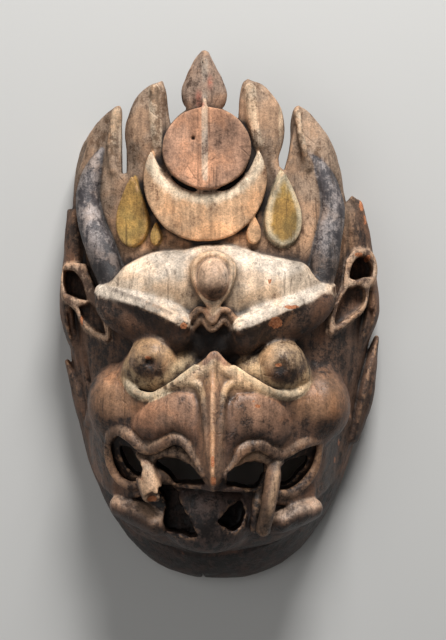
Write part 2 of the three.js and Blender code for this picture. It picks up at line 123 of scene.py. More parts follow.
def shell_sizes(y, side, face, chin):
    below = np.clip((WIDEST_Y - y) / (WIDEST_Y - CHIN_Y - chin), 0, 1)
    above = np.maximum(0, y - WIDEST_Y) / (CROWN_Y - WIDEST_Y)
    taper = (1 - below**END_ROUNDNESS) ** (1 / END_ROUNDNESS)
    half = (HALF_WIDTH - side) * taper - CROWN_NARROWING * above**2
    deep = (DEPTH - face) * taper - CROWN_LEAN * above**1.5
    return np.maximum(half, 0.01), np.maximum(deep, 0.01)


def shell(side=0, face=0, chin=0):
    """The egg-shaped shell, drawn in on the sides, the face and the chin."""

    def distance(x, y, z):
        half, deep = shell_sizes(y, side, face, chin)
        across = (np.abs(x) / half) ** SECTION_ROUNDNESS
        outward = (np.maximum(z, 0) / deep) ** SECTION_ROUNDNESS
        near = (across + outward) ** (1 / SECTION_ROUNDNESS)
        reach = np.sqrt(x * x + np.maximum(z, 0) ** 2)
        radial = reach - reach / np.maximum(near, 1e-4)
        return np.maximum(radial, CHIN_Y + chin - y)

    return Form((-130, -200, -10), (130, 210, 160), distance)


def shell_front(x, y):
    """How far out the shell's face is at a place seen from the front."""
    half, deep = shell_sizes(float(y), 0, 0, 0)
    across = min(1.0, (abs(x) / half)) ** SECTION_ROUNDNESS
    return float(deep * (1 - across) ** (1 / SECTION_ROUNDNESS))


def even_distance(field, cell):
    """Divides a field by its own steepness, so that it counts true steps near the surface."""
    slopes = np.gradient(field, cell)
    steepness = np.sqrt(sum(slope * slope for slope in slopes))
    return field / np.maximum(steepness, 0.6)


def turned_box(centre, radii, turn, lean):
    """The axes of a turned egg and the corners of the box it lies in."""
    c, s = math.cos(turn), math.sin(turn)
    cl, sl = math.cos(lean), math.sin(lean)
    axes = np.array([[cl * c, s * cl, -sl], [-s, c, 0], [sl * c, s * sl, cl]])
    reach = np.sqrt(((axes * np.array(radii)[:, None]) ** 2).sum(0))
    return axes, np.array(centre) - reach, np.array(centre) + reach


def egg(centre, radii, turn=0, lean=0):
    """A swelling, turned about the upright by lean and about the line of sight by turn."""
    axes, low, high = turned_box(centre, radii, math.radians(turn), math.radians(lean))

    def distance(x, y, z):
        near = 0
        slope = 0
        for axis, radius in zip(axes, radii):
            u = axis[0] * (x - centre[0]) + axis[1] * (y - centre[1]) + axis[2] * (z - centre[2])
            near = near + (u / radius) ** 2
            slope = slope + (u / radius**2) ** 2
        near = np.sqrt(near)
        return near * (near - 1) / np.maximum(np.sqrt(slope), 1e-4)

    return Form(low, high, distance)


def smooth_run(stations, per):
    """A curve through the stations, with per points from each to the next."""
    rows = np.array(stations, float)
    rows = np.vstack([2 * rows[0] - rows[1], rows, 2 * rows[-1] - rows[-2]])
    points = []
    for k in range(1, len(rows) - 2):
        a, b, c, d = rows[k - 1 : k + 3]
        for t in np.arange(per) / per:
            bend = (2 * a - 5 * b + 4 * c - d) * t**2 + (3 * b - a - 3 * c + d) * t**3
            points.append(b + 0.5 * ((c - a) * t + bend))
    return np.array([*points, rows[-2]])


def oval(s, n, beyond, wide, deep):
    """A rounded section: s is across the run, n out of it and beyond past its end."""
    blunt = np.minimum(wide, deep)
    near = np.sqrt((s / wide) ** 2 + (n / deep) ** 2 + (beyond / blunt) ** 2)
    slope = np.sqrt((s / wide**2) ** 2 + (n / deep**2) ** 2 + (beyond / blunt**2) ** 2)
    return near * (near - 1) / np.maximum(slope, 1e-4)


def faceted(corners):
    """A section with flat sides, its corners given clockwise as seen along the run."""

    def section(s, n, beyond, wide, deep):
        size = np.minimum(wide, deep)
        furthest = np.abs(beyond) - 0.5
        for (s0, n0), (s1, n1) in zip(corners, corners[1:] + corners[:1]):
            length = math.hypot(s1 - s0, n1 - n0)
            out = ((n / deep - n0) * (s1 - s0) - (s / wide - s0) * (n1 - n0)) / length
            furthest = soft_most(furthest, out * size, 1.2)
        return furthest

    return section


def rope(stations, section=oval, per=4, reach=0):
    """A section along a run of stations: place, half width and half depth."""
    rows = [station if len(station) == 5 else [*station, station[3]] for station in stations]
    run = smooth_run(rows, per)
    path, wide, deep = run[:, :3], np.maximum(run[:, 3], 0.3), np.maximum(run[:, 4], 0.3)
    margin = max(wide.max(), deep.max(), reach)

    def distance(x, y, z):
        nearest = np.float32(1e3)
        for k in range(len(path) - 1):
            a, span = path[k], path[k + 1] - path[k]
            length = float(np.linalg.norm(span))
            along = span / length
            out = np.array([0, 0, 1.0]) - along * along[2]
            out /= np.linalg.norm(out)
            side = np.cross(along, out)
            u, v, w = x - a[0], y - a[1], z - a[2]
            onward = along[0] * u + along[1] * v + along[2] * w
            t = np.clip(onward / length, 0, 1)
            s = side[0] * u + side[1] * v + side[2] * w
            n = out[0] * u + out[1] * v + out[2] * w
            half = wide[k] + (wide[k + 1] - wide[k]) * t
            depth = deep[k] + (deep[k + 1] - deep[k]) * t
            nearest = np.minimum(nearest, section(s, n, onward - t * length, half, depth))
        return nearest

    return Form(path.min(0) - margin, path.max(0) + margin, distance)


def flat_distance(corners, x, y):
    """How far points are from an outline seen from the front, negative inside."""
    nearest = np.float32(1e6)
    inside = np.zeros(np.broadcast(x, y).shape, bool)
    for (ax, ay), (bx, by) in zip(corners, np.roll(corners, -1, axis=0)):
        ex, ey = bx - ax, by - ay
        t = np.clip(((x - ax) * ex + (y - ay) * ey) / (ex * ex + ey * ey), 0, 1)
        nearest = np.minimum(nearest, (x - ax - t * ex) ** 2 + (y - ay - t * ey) ** 2)
        if ey != 0:
            crosses = ((ay > y) != (by > y)) & (x < ex * (y - ay) / ey + ax)
            inside ^= crosses
    return np.where(inside, -1, 1) * np.sqrt(nearest)


def smooth_outline(stretches, per=4):
    """An outline of stretches: one point is a straight run to it, more are a smooth curve."""
    points = [np.array(stretches[0][0], float)]
    for stretch in stretches[1:]:
        if len(stretch) == 1:
            points.append(np.array(stretch[0], float))
        else:
            points.extend(smooth_run([points[-1], *stretch], per)[1:])
    kept = [p for p, q in zip(points, points[1:] + points[:1]) if np.hypot(*(p - q)) > 0.05]
    return np.array(kept)


def drop(x, tip, foot, half_width, count=40):
    """The outline of a drop with a round foot at one end and a tip at the other."""
    height = tip - foot
    turn = np.linspace(0, 2 * math.pi, count, endpoint=False)
    rise = (1 - np.cos(turn)) / 2
    body = np.sin(math.pi * rise**0.62) ** 0.85
    return np.stack([x + half_width * body * np.sign(np.sin(turn)), foot + height * rise], 1)


def board(corners, back, front, lean=0, pivot=0, edge=1.6):
    """A flat piece of relief with a rounded edge, turned about the upright at pivot."""
    c, s = math.cos(math.radians(lean)), math.sin(math.radians(lean))
    thick = front - back
    low, high = corners.min(0), corners.max(0)
    swing = abs(s) * thick + (1 - c) * (high[0] - low[0])
    rise = abs(s) * (high[0] - low[0])

    def distance(x, y, z):
        across = pivot + (x - pivot) * c - (z - back) * s
        out = (x - pivot) * s + (z - back) * c
        flat = flat_distance(corners, across, y)
        return soft_most(flat, np.maximum(out - thick, -out), edge)

    low3 = (low[0] - swing, low[1], back - rise)
    high3 = (high[0] + swing, high[1], front + rise)
    return Form(low3, high3, distance)


def leaf(corners, depth=0):
    """An ear's leaf up to its sloping face, or a bowl of some depth in that face."""
    low, high = corners.min(0), corners.max(0)

    def distance(x, y, z):
        rise = (z - EAR_FACE + EAR_SLOPE * np.abs(x) + depth) / math.hypot(1, EAR_SLOPE)
        return soft_most(flat_distance(corners, x, y), -rise if depth else rise, 5 if depth else 2.2)

    return Form((*low, 24), (*high, 76), distance)


def through(corners):
    """What lies inside an outline seen from the front, at every depth."""
    low, high = corners.min(0), corners.max(0)

    def distance(x, y, z):
        return flat_distance(corners, x, y) + 0 * z

    return Form((*low, -20), (*high, 200), distance)


def ring(count=48):
    """A circle of one step's radius."""
    turn = np.linspace(0, 2 * math.pi, count, endpoint=False)
    return np.stack([np.cos(turn), np.sin(turn)], 1)


def clouds(axes, grain, seed):
    """Smooth random hills about one grain apart, from minus one to one."""
    generator = np.random.default_rng(seed)
    counts = [int((axis[-1] - axis[0]) / g) + 3 for axis, g in zip(axes, grain)]
    hills = generator.uniform(-1, 1, counts).astype(np.float32)
    for k, axis in enumerate(axes):
        place = (axis - axis[0]) / grain[k]
        first = place.astype(int)
        part = (place - first).astype(np.float32)
        part = part * part * (3 - 2 * part)
        part = part.reshape([-1 if j == k else 1 for j in range(3)])
        low = np.take(hills, first, k)
        hills = low + (np.take(hills, first + 1, k) - low) * part
    return hills


# The crown seen from the front: two pairs of flame leaves, and the finial on the sun disc.
CROWN_OUTLINE = [
    [(-130, -210)], [(130, -210)], [(130, 60)],
    [(111, 60), (107.5, 75), (103, 85), (96, 89.5)], [(91.5, 84)],
    [(89.5, 93), (87.6, 104.7), (82.9, 118.9), (75.9, 133), (65.3, 146), (56.5, 152)],
    [(52.8, 148.6), (51.7, 133), (48.7, 116.6), (46, 106)], [(42.8, 108.5)],
    [(42.3, 118), (45, 127), (46.4, 138.2), (43.5, 150), (36.5, 159.2), (27.2, 166.2), (20.5, 170)],
    [(16.7, 166.2), (14.9, 155.7), (14, 141)], [(6.3, 146.6), (-1.5, 149.8)],
    [(3.2, 150.5), (5.7, 158), (3.9, 166.2), (-1.9, 177.8), (-7, 188.5)], [(-10, 190)],
    [(-13, 188.5), (-17.6, 182.6), (-22.8, 170.8), (-26.1, 161.5), (-25.1, 153.3), (-22, 148.9)],
    [(-28.6, 143.6), (-34, 138)], [(-36.5, 150), (-37.3, 161.3), (-39.8, 168.6)],
    [(-48.4, 165), (-58.9, 155.7), (-65.3, 141.7), (-66.4, 131.2), (-65.3, 120.7), (-65.5, 104)],
    [(-68.6, 104)], [(-69, 128), (-69.2, 150), (-72.4, 152.6)],
    [(-80, 147.5), (-90, 138.5), (-99.5, 125), (-104.6, 110), (-106.8, 95), (-107.2, 81)],
    [(-109.5, 80)], [(-112, 70)], [(-130, 70)],
]

SUN = (-8.4, 119.2)
SUN_RADIUS = 30.8
SUN_TALL = 0.925
SUN_FRONT = 98
MOON_X = -9.6
MOON_OUTER = (97.5, 42.8)
MOON_INNER = (127.7, 41.5)
MOON_FRONT = 93
MOON_BACK = 70
SUN_BACK = 70
SUN_HOLE = ([-17.6, 126, 99], [1.5, 1.5, 4])
SUN_CRACK = [[2.6, 104, 98.6, 0.8], [2.6, 148, 98.6, 0.8]]

JEWELS = {
    "left_jewel": dict(x=-55.5, tip=101.6, foot=51.4, half_width=12.2, back=66, front=82, lean=-22),
    "right_jewel": dict(x=41.2, tip=105, foot=51.2, half_width=13.8, back=70, front=86, lean=17),
    "left_bud": dict(x=-41.4, tip=69, foot=52.4, half_width=3.8, back=74, front=87, lean=-14),
    "right_bud": dict(x=23.2, tip=73.4, foot=53, half_width=5, back=78, front=91, lean=7),
}

FINIAL = [[-10, 148, 78, 12, 8], [-10.2, 158, 78, 15.5, 9], [-10.2, 168, 77, 12, 8],
          [-10, 178, 76, 7, 7], [-10, 187, 75, 2.5, 4]]
SPINE = [[-9.5, 98, 97, 1.1], [-9.8, 147, 97.4, 1.4], [-10, 156, 85.4, 1.6], [-10, 182, 82, 1.1]]

# The swelling of each leaf of the crown: its middle, radii, turn and lean.
CROWN_SWELLINGS = [
    ([-51, 138, 71], [13, 27, 10], -12, -18), ([31, 140, 76], [13, 27, 9], 14, 12),
    ([-88, 112, 44], [11, 34, 10], -20, -38), ([69, 116, 58], [13, 34, 10], 24, 30),
]
# Ridges and grooves on the crown's leaves: places, and how far off the shell.
CROWN_RIDGES = [
    [(-45.5, 163, 4), (-45, 150, 5), (-44, 136, 4), (-42, 122, 1)],
    [(22, 163, 4), (22.5, 150, 5), (24, 138, 4), (28, 124, 1)],
    [(-73.5, 147, 2), (-76, 134, 4), (-77, 120, 3), (-74, 106, 0)],
    [(55.5, 146, 3), (57, 134, 5), (60, 120, 5), (63, 108, 1)],
]
CROWN_GROOVES = [
    [(-50, 158, 6), (-51, 145, 7), (-50, 130, 6)], [(29, 158, 6), (31, 146, 7), (32, 132, 5)],
    [(-81, 138, 5), (-84, 124, 6), (-83, 110, 4)], [(63.5, 138, 7), (66, 126, 7)],
]

HORNS = [
    [[-75.9, 29, 73, 10], [-83, 49, 67, 11], [-89.5, 66, 61, 10], [-93.5, 86, 57, 8.2],
     [-90.5, 103, 56, 6.8], [-87, 112, 56, 4.8], [-82.5, 120.5, 57, 1.8]],
    [[72, 29, 75, 9.5], [75.8, 49, 71, 10], [80.5, 74, 66, 8.8], [79, 88, 65, 7.8],
     [75.5, 99, 65, 6.6], [67.5, 112, 66, 4.4], [58.5, 121.5, 69, 1.8]],
]

HAIR_GROOVES = [
    [[-97, -92, 36, 1.4, 3], [-102, -66, 40, 1.6, 3], [-106.5, -44, 36, 1, 2]],
    [[-99, -48, 42, 1.4, 3], [-103, -20, 44, 1.6, 3], [-108, 4, 44, 1.2, 3]],
    [[-93, -44, 46, 1.2, 3], [-96, -24, 50, 1.4, 3], [-101, -8, 50, 1, 2]],
    [[101, -90, 36, 1.4, 3], [107, -60, 40, 1.6, 3], [111.5, -36, 37, 1, 2]],
    [[102, -42, 42, 1.4, 3], [106, -14, 44, 1.6, 3], [109.5, 6, 44, 1.2, 3]],
    [[96, -40, 47, 1.2, 3], [99, -22, 50, 1.4, 3], [104, -8, 50, 1, 2]],
    [[103.5, 48, 54, 1.2, 3], [103, 62, 54, 1.4, 3], [99, 80, 50, 1, 2]],
]

HAIR = [
    [[-92, -86, 18, 5, 18], [-98, -62, 20, 7, 20], [-104, -44, 21, 5, 16], [-110.5, -30, 22, 1.6, 7]],
    [[-97, -50, 20, 5, 18], [-100, -25, 22, 6, 20], [-107, -7, 23, 6, 22], [-109.5, 12, 24, 6, 22],
     [-108, 38, 24, 5, 22], [-107, 62, 24, 4, 20], [-108.5, 79, 24, 1.6, 10]],
    [[-102, 36, 32, 9, 20], [-102, 60, 32, 8, 20], [-103, 75, 30, 5, 14]],
    [[97, -84, 18, 6, 18], [104, -58, 20, 8, 20], [109, -36, 21, 6, 17], [114.8, -13, 22, 1.6, 7]],
    [[98, -40, 20, 5, 18], [102.5, -16, 22, 6, 20], [109, 0, 23, 6, 22], [110.5, 14, 24, 6, 22],
     [108, 40, 24, 5, 22], [105, 64, 24, 4, 22], [101, 84, 26, 3, 16]],
    [[98, 38, 32, 10, 24], [97, 62, 34, 10, 23], [95, 78, 36, 6, 18]],
]

# The ears: leaves seen from the front, the bowls cut into them, and how deep each bowl goes.
EAR_FACE = 110.5
EAR_SLOPE = 0.5
EAR_LEAVES = [
    [[(-113, 24)], [(-112.5, 33), (-110.5, 39.5), (-103, 41)], [(-94.5, 39.8)],
     [(-90.5, 30), (-83, 13), (-77.5, -3)], [(-76, -14)],
     [(-79.5, -15.8)], [(-93, -8.5), (-98.5, -2), (-102.5, 7), (-111, 15), (-113, 24)]],
    [[(88.5, 24)], [(90.5, 42)],
     [(97, 50.5), (108, 50), (112.5, 43), (113, 31), (108, 22), (107, 13), (102.5, 5), (93, -2)],
     [(80, -10.8)], [(77, -8)], [(80, 6), (85, 16), (88.5, 24)]],
]
EAR_BOWLS = [
    ([[(-110.5, 35.6)], [(-103.4, 35), (-98, 29), (-95, 20), (-93.5, 14)], [(-101, 15.4), (-109.5, 19)],
      [(-111.2, 27), (-110.5, 35.6)]], 26),
    ([[(-99.5, 9)], [(-91.6, 12.5)], [(-86, 6.5), (-81.5, -2.4), (-80, -10.5)], [(-87, -7.6), (-93, -4)],
      [(-97.6, 2), (-99.5, 9)]], 11),
    ([[(92.1, 29.6)], [(94, 38), (99.2, 44.5), (105.5, 44.6), (110, 38), (109, 31)], [(102.8, 30.2)],
      [(97, 28.4), (92.1, 29.6)]], 26),
    ([[(91.5, 22.8)], [(100.5, 24), (104, 17), (101, 9), (94, 3)], [(83.5, -4.4)],
      [(81.8, 0), (85, 12), (91.5, 22.8)]], 11),
]

BROW_SECTION = [(-11, -22), (-9, -2), (-3, 6.4), (3.4, 7), (18, -6), (20, -22)]
BROWS = [
    [[-84, 21, 78, 0.72], [-64, 15, 92, 0.95], [-42, 7, 101, 1], [-26, -1.5, 107, 0.85],
     [-21, -3.5, 106, 0.5]],
    [[12, -6.5, 106, 0.5], [17, -4.5, 107, 0.85], [34, 3, 101, 1], [58, 14, 91, 0.95],
     [79, 25, 76, 0.72]],
]

# Swellings and holes of the eyes and brows: a middle, radii and, for some, a turn.
EYE_SOCKETS = [([-45, -22, 100], [27, 19, 22]), ([43, -25, 100], [27, 19, 22])]
NOSE_SOCKET = ([-4, -15, 101], [25, 12, 20])
EYE_HOLE = ([-48, -29, 108], [2.4, 2.4, 4])
BROW_BRIDGE = ([-5, -14, 86], [24, 14, 11])
FOREHEAD_SWELLING = ([-3, 23, 64], [90, 38, 40])
FOREHEAD_HOLE = ([-9.5, 48.5, 103], [1, 1, 4])
EYES = [[-45, -28, 88], [43, -31, 88]]
EYE_RADIUS = 17.5
EYE_FLOORS = [([-43, -36, 80], [26, 19, 24]), ([40, -38, 80], [26, 19, 24])]
EYE_CORNERS = [([-27, -31, 83], [14, 12, 17]), ([24, -34, 84], [15, 12, 17])]
BROW_MASSES = [([-52, -2, 82], [36, 15, 15], -23), ([47, 0, 82], [36, 15, 15], 23),
               ([-26, -11, 96], [9, 11, 11], -20), ([16, -13, 96], [9, 11, 11], 20)]
LEDGE_CRACK = [[-77, 22, 90, 0.5, 1.2], [-66.5, 18.6, 97.9, 0.6, 1.4], [-55, 14.8, 103.5, 0.6, 1.4],
               [-44.6, 10.5, 107.6, 0.6, 1.4], [-33, 4.5, 111, 0.5, 1.2]]
NOSE_FILL = ([-4, 4, 94], [18, 10, 10.5])
LIDS = [
    [[-62, -32, 2.2], [-63, -42.5, 3], [-57.5, -50, 3], [-47, -52.8, 3], [-37.2, -48.6, 2.8],
     [-27.5, -41.5, 2.5], [-16, -31.5, 1.6]],
    [[10, -32.5, 1.6], [27, -44, 2.5], [37.7, -49.8, 2.8], [50.3, -52, 3], [59.5, -46.6, 2.8],
     [62, -36, 2.2]],
]

FOREHEAD = [
    [(-84, 22)], [(-75.5, 27.1), (-66.5, 36.8), (-54.7, 43.8), (-39.4, 48.7), (-23.4, 49.3),
     (-13.7, 54.2), (-5.3, 57), (1.6, 55.6), (16.2, 50.7), (32.9, 45.9), (49.6, 42.4),
     (61.4, 38.9), (68, 30), (79, 25)],
    [(40, 0)], [(12, -8)], [(-4, -2)], [(-22, -6)], [(-46, 2)],
]

THIRD_EYE = dict(x=-3.8, tip=4, foot=47.5, half_width=16)
THIRD_EYE_MOAT = dict(x=-3.8, tip=10, foot=44, half_width=12)
THIRD_EYE_KNOB = ([-3.8, 28, 107], [11.4, 15, 14.5])
NOSE_ROOT = [
    [[-20, 0, 102, 2.6], [-14, 7, 105, 2.4], [-9, 6, 106.5, 2.2], [-4.3, -1, 107.5, 2.4],
     [1, 6, 106.5, 2.2], [6, 6.5, 105, 2.4], [12, -1.5, 102, 2.6]],
    [[-17, -5, 99, 2], [-11.5, 0.5, 102, 2.2], [-4.3, -6.5, 104, 2.4], [3.5, 0, 102, 2.2], [9, -6.5, 99, 2]],
]

# The muzzle: how far out it is at distances from the beak's line, and the ridge of the beak on it.
MUZZLE_MIDDLE = -3.5
MUZZLE_SECTION = [(0, 116), (14, 116), (30, 111), (45, 103), (60, 95), (70, 87), (79, 74), (86, 58), (92, 36)]
RIDGE_HEIGHTS = [(20, 108), (30, 119), (45, 125), (65, 129), (85, 133), (104, 138), (111, 137), (116, 128)]
RIDGE_SLOPES = [(25, 1.3), (45, 0.9), (70, 0.85), (90, 1.1), (110, 2.1)]
BEAK_APEX = (-2.6, -22)
BEAK_TIP = (-3.6, -115)
LEFT_CHEEK = [(-66, -31), (-76, -32), (-85, -42), (-92, -56), (-97, -76), (-95, -96), (-88, -112),
              (-76, -124), (-62, -126), (-50, -122)]
RIGHT_CHEEK = [(39, -128), (54, -131), (70, -127), (84, -114), (92, -98), (96, -78), (92, -58),
               (85, -44), (76, -35), (66, -33)]
CHEEKS = [([-71, -60, 66], [22, 27, 26], 8), ([70, -61, 66], [23, 27, 27], -8)]
# The swellings beside the beak: their outlines, how far they rise and over what width.
LOBE_RISE = 5.5
LOBE_EDGE = 11
LOBES = [
    [(-60, -75), (-58, -66), (-49, -57), (-38, -51), (-27, -49), (-17.5, -50.5), (-13.5, -58), (-12, -68),
     (-10.5, -82), (-7.5, -97), (-7.5, -104), (-13, -92), (-19, -82.5), (-25, -78), (-31, -76),
     (-38, -79), (-45, -83), (-53, -82)],
    [(50, -80), (52, -72), (47, -61), (38, -54), (25, -50), (13, -50.5), (6.5, -58), (4.5, -68),
     (3, -82), (0.5, -97), (1, -105), (7, -93), (13, -85), (20, -81), (29, -81), (36, -85), (43, -87)],
]
BEAK_FOLDS = [
    [[-40, -49.5, 1.8], [-28.5, -44, 2.3], [-18.5, -42.5, 2.3], [-12, -48, 2.2], [-10.3, -60, 1.9],
     [-9, -78, 1.5], [-6.8, -98, 0.8]],
    [[-0.4, -98, 0.8], [1.6, -78, 1.5], [2.6, -60, 1.9], [4.3, -49, 2.2], [10.5, -43.5, 2.3],
     [21, -45.5, 2.3], [32.5, -51, 1.8]],
]
BEAK_CAP = [[-20, -39, 1.8], [-11, -35, 2.2], [-6, -31, 2.2], [-2.8, -27.5, 2.2], [1, -31, 2.2],
            [6, -35.5, 2.2], [15, -41, 1.8]]
BEAK_TOP = [[-9, -29, 1.6], [-2.8, -23.5, 2.4], [4, -29.5, 1.6]]

UPPER_LIPS = [
    [[-76, -81, 2.8], [-70.3, -77.4, 3.2], [-63, -80.3, 3.3], [-54, -87.8, 3.4], [-47, -89.5, 3.4],
     [-39, -86, 3.4], [-31, -82, 3.4], [-23, -84.5, 3.2], [-15.5, -95, 2.6], [-9.5, -106, 1.8]],
    [[3.2, -106, 1.8], [8.5, -98.5, 2.6], [14.5, -91, 3.2], [22, -87, 3.4], [29.5, -86.8, 3.4],
     [36, -91, 3.4], [43, -93.5, 3.4], [50, -90.5, 3.3], [58, -86.5, 3], [70, -84, 2.4]],
]
INNER_LIPS = [
    [[-50, -98.5, 92, 3.4], [-39, -92.5, 98, 3.8], [-30, -91.5, 102, 3.8], [-21, -96.5, 106, 3.6],
     [-13, -105.5, 110, 2.8]],
    [[6, -106.5, 110, 2.8], [13.6, -98.5, 106, 3.6], [21, -94, 102, 3.8], [29, -94, 99, 3.8],
     [41.5, -101.5, 92, 3.4]],
]
MOUTH_CORNERS = [
    [[-76, -81, 2.2], [-78, -90, 2.2], [-76, -102, 2.5], [-70.5, -111.5, 2.7], [-62, -116, 2.7],
     [-52, -114, 2.4]],
    [[39, -121, 2.4], [49, -121.5, 2.7], [58, -117, 2.7], [66, -108, 2.5], [70, -97, 2.1],
     [71, -88, 1.6]],
]

FANG = [[40, -97, 93, 5.6], [37.5, -110, 101, 5.2], [34.5, -128, 102, 4.6], [31, -145.5, 93, 4.9]]
FANG_RIDGE = [[28, -116, 84, 3.2], [26.5, -130, 89, 3.4], [25.5, -145, 84, 4]]
FANG_STUMP = [[-52, -98, 90, 7.4], [-50, -107, 97, 8], [-46, -120, 100, 7.8]]
STUMP_BREAK = ([-44, -126, 108], [10, 7.5, 11])
FANG_ROOT = [[-47, -106, 94, 6], [-36, -110, 92, 5], [-28, -116, 86, 3.5]]
LOWER_LIP = [
    [[-67, -132, 65, 9, 13], [-55, -137, 72, 9.5, 14], [-43, -143.5, 78, 8.5, 13]],
    [[43, -142, 78, 8, 13], [53, -137, 72, 9.5, 14], [63, -134, 65, 8.5, 13]],
]

MOUTH_OPENINGS = [
    [[(-69.5, -88)], [(-63, -88.5), (-57, -95), (-53.5, -101), (-53.5, -109)],
     [(-58, -109), (-64, -104), (-68.5, -96), (-69.5, -88)]],
    [[(-43.5, -100.5)], [(-41.5, -96.5), (-30, -96), (-19, -100.5), (-8, -113)],
     [(-30, -114)], [(-34, -108), (-43.5, -100.5)]],
    [[(5.5, -104.5)], [(15, -99.5), (24, -98.2), (31.5, -99.8)], [(31.5, -107.5)],
     [(27, -116), (20, -117.5), (10, -115), (5.5, -114.5)]],
    [[(43.5, -101.5)], [(53, -96.5), (62.5, -95.5)], [(62, -101), (55.5, -108), (49, -115), (43, -115.5)]],
]

JAW = ([-3, -134, 50], [68, 31, 36])
LOWER_BEAK_SWELLING = ([-8, -137, 64], [36, 32, 31])
PIT_FLOOR = 57
LEFT_PIT = [
    [(-42.6, -115.7)], [(-32.8, -114.3), (-28.6, -119.3), (-24.4, -129.8), (-14.5, -150)],
    [(-20, -152)], [(-27.2, -149.4), (-37, -147.3), (-39.1, -140.3), (-37, -129.8), (-41.2, -120.7)],
]
RIGHT_PIT = [
    [(9.3, -129.8)], [(14.9, -126.3), (17.7, -131.9), (17, -140.3), (11.4, -147.3), (5.1, -145.9),
     (-1.2, -140.3), (2.3, -136.1), (9.3, -129.8)],
]
LOWER_BEAK = [
    [(-27, -117)], [(-22, -114)], [(-3, -114)], [(15, -119)], [(22, -128)],
    [(24, -140), (18, -155), (4, -163), (-14, -164), (-30, -158), (-38, -150)], [(-30, -135)],
]
BEAK_BELOW = [[-5, -118, 82, 3], [-6, -132, 90, 4], [-7, -150, 84, 3]]
CHIN_GROOVE = [(-62, -140, 0), (-50, -154, 0), (-35.6, -161.7, 0), (-26.3, -167, 0), (-13.5, -169, 0),
               (1.6, -168, 0), (15.9, -166, 0), (40, -157, 0), (58, -145, 0)]
CHIN_CRACK = [(-12.6, -200), (-9.4, -200), (-10.6, -188), (-11.4, -181), (-12.2, -188)]

# Tool marks and wear over the whole surface: their grain along each axis, seed and depth.
TOOL_MARKS = [
    ((19, 23, 19), 31, 0.45), ((7, 9, 7), 32, 0.32), ((2.8, 4.4, 2.8), 33, 0.12), ((2.4, 36, 2.4), 34, 0.1),
]
FAR_FORWARD = 130  # in front of the whole face

mask = Block((-121, -195, -6), (122, 195, 145), GRID_CELL)


def flat(run):
    return [(station[0], station[1]) for station in run]


MUZZLE_OUTLINE = smooth_outline([
    [BEAK_APEX], flat(LIDS[0][::-1]), LEFT_CHEEK, flat(MOUTH_CORNERS[0][::-1]), flat(UPPER_LIPS[0]),
    [BEAK_TIP], flat(UPPER_LIPS[1]), flat(MOUTH_CORNERS[1][::-1]), RIGHT_CHEEK, flat(LIDS[1][::-1]),
], 2)
MOUTH_OUTLINE = smooth_outline([
    [(-76, -82)], flat(MOUTH_CORNERS[0][1:]), flat(MOUTH_CORNERS[1]), flat(UPPER_LIPS[1][::-1]),
    [BEAK_TIP], flat(UPPER_LIPS[0][::-1][:-1]),
], 2)
GUM_DEPTH = 9  # how far the floor of the mouth lies behind the muzzle


def muzzle_front(x, y):
    """How far out the muzzle is at a place seen from the front."""
    off = np.abs(x - MUZZLE_MIDDLE)
    base = np.interp(off, *zip(*MUZZLE_SECTION)) + 0 * y
    # it falls back towards the corners of the mouth, and under the eyes
    base = base - 17 * ramp(-y, 82, 122) * ramp(off, 15, 40)
    base = base - 15 * ramp(y, -54, -26) * ramp(off, 28, 60)
    for outline in LOBES:
        depth = np.clip(-flat_distance(np.array(outline), x, y) / LOBE_EDGE, 0, 1)
        base = base + LOBE_RISE * np.sqrt(1 - (1 - depth) ** 2)
    ridge = np.interp(-y, *zip(*RIDGE_HEIGHTS))
    steep = np.interp(-y, *zip(*RIDGE_SLOPES))
    flank = ridge - steep * np.sqrt((x - MUZZLE_MIDDLE + 0.6) ** 2 + 0.8)
    return soft_most(base, flank, 3)


def muzzle():
    """The mass between the eyes and the lips, from cheek to cheek."""

    def distance(x, y, z):
        return soft_most(flat_distance(MUZZLE_OUTLINE, x, y), (z - muzzle_front(x, y)) * 0.8, 3)

    return Form((-98, -132, 20), (97, -20, 145), distance)


def gums():
    """The floor of the mouth, which the openings go through."""

    def distance(x, y, z):
        depth = (z - muzzle_front(x, y) + GUM_DEPTH) * 0.8
        return soft_most(flat_distance(MOUTH_OUTLINE, x, y), depth, 2)

    return Form((-82, -125, 20), (76, -74, 130), distance)


def on_muzzle(run, lift, depth=0.8):
    """Stations for a band that follows the muzzle: its depth is a share of its half width."""
    front = muzzle_front(*np.array(run)[:, :2].T)
    return [[x, y, z + lift, half, half * depth] for (x, y, half), z in zip(run, front)]


def lip_band(run):
    """A lip: a broad, low band on the muzzle."""
    return rope(on_muzzle([(x, y, half * 1.2) for x, y, half in run], -0.2, 0.62))


def on_shell(run, lift, half):
    """Stations for a line drawn on the shell's face."""
    return [[x, y, shell_front(x, y) + lift + more, half] for x, y, more in run]


def carve_shell():
    outside = shell().distance(*mask.points())
    mask.field = even_distance(outside, GRID_CELL)
    mask.keep(through(smooth_outline(CROWN_OUTLINE)), 4)


def within(form, corners, soft):
    """The part of a form that lies inside an outline seen from the front."""
    edge = through(corners)

    def distance(x, y, z):
        return soft_most(form.distance(x, y, z), edge.distance(x, y, z), soft)

    return Form(form.low, form.high, distance)


def eyeball(centre):
    return egg(centre, [EYE_RADIUS, EYE_RADIUS, EYE_RADIUS + 3])


def carve_eyes():
    for socket in EYE_SOCKETS:
        mask.cut(egg(*socket), 7)
    mask.cut(egg(*NOSE_SOCKET), 5)
    for centre in EYES:
        mask.join(eyeball(centre), 2.5)


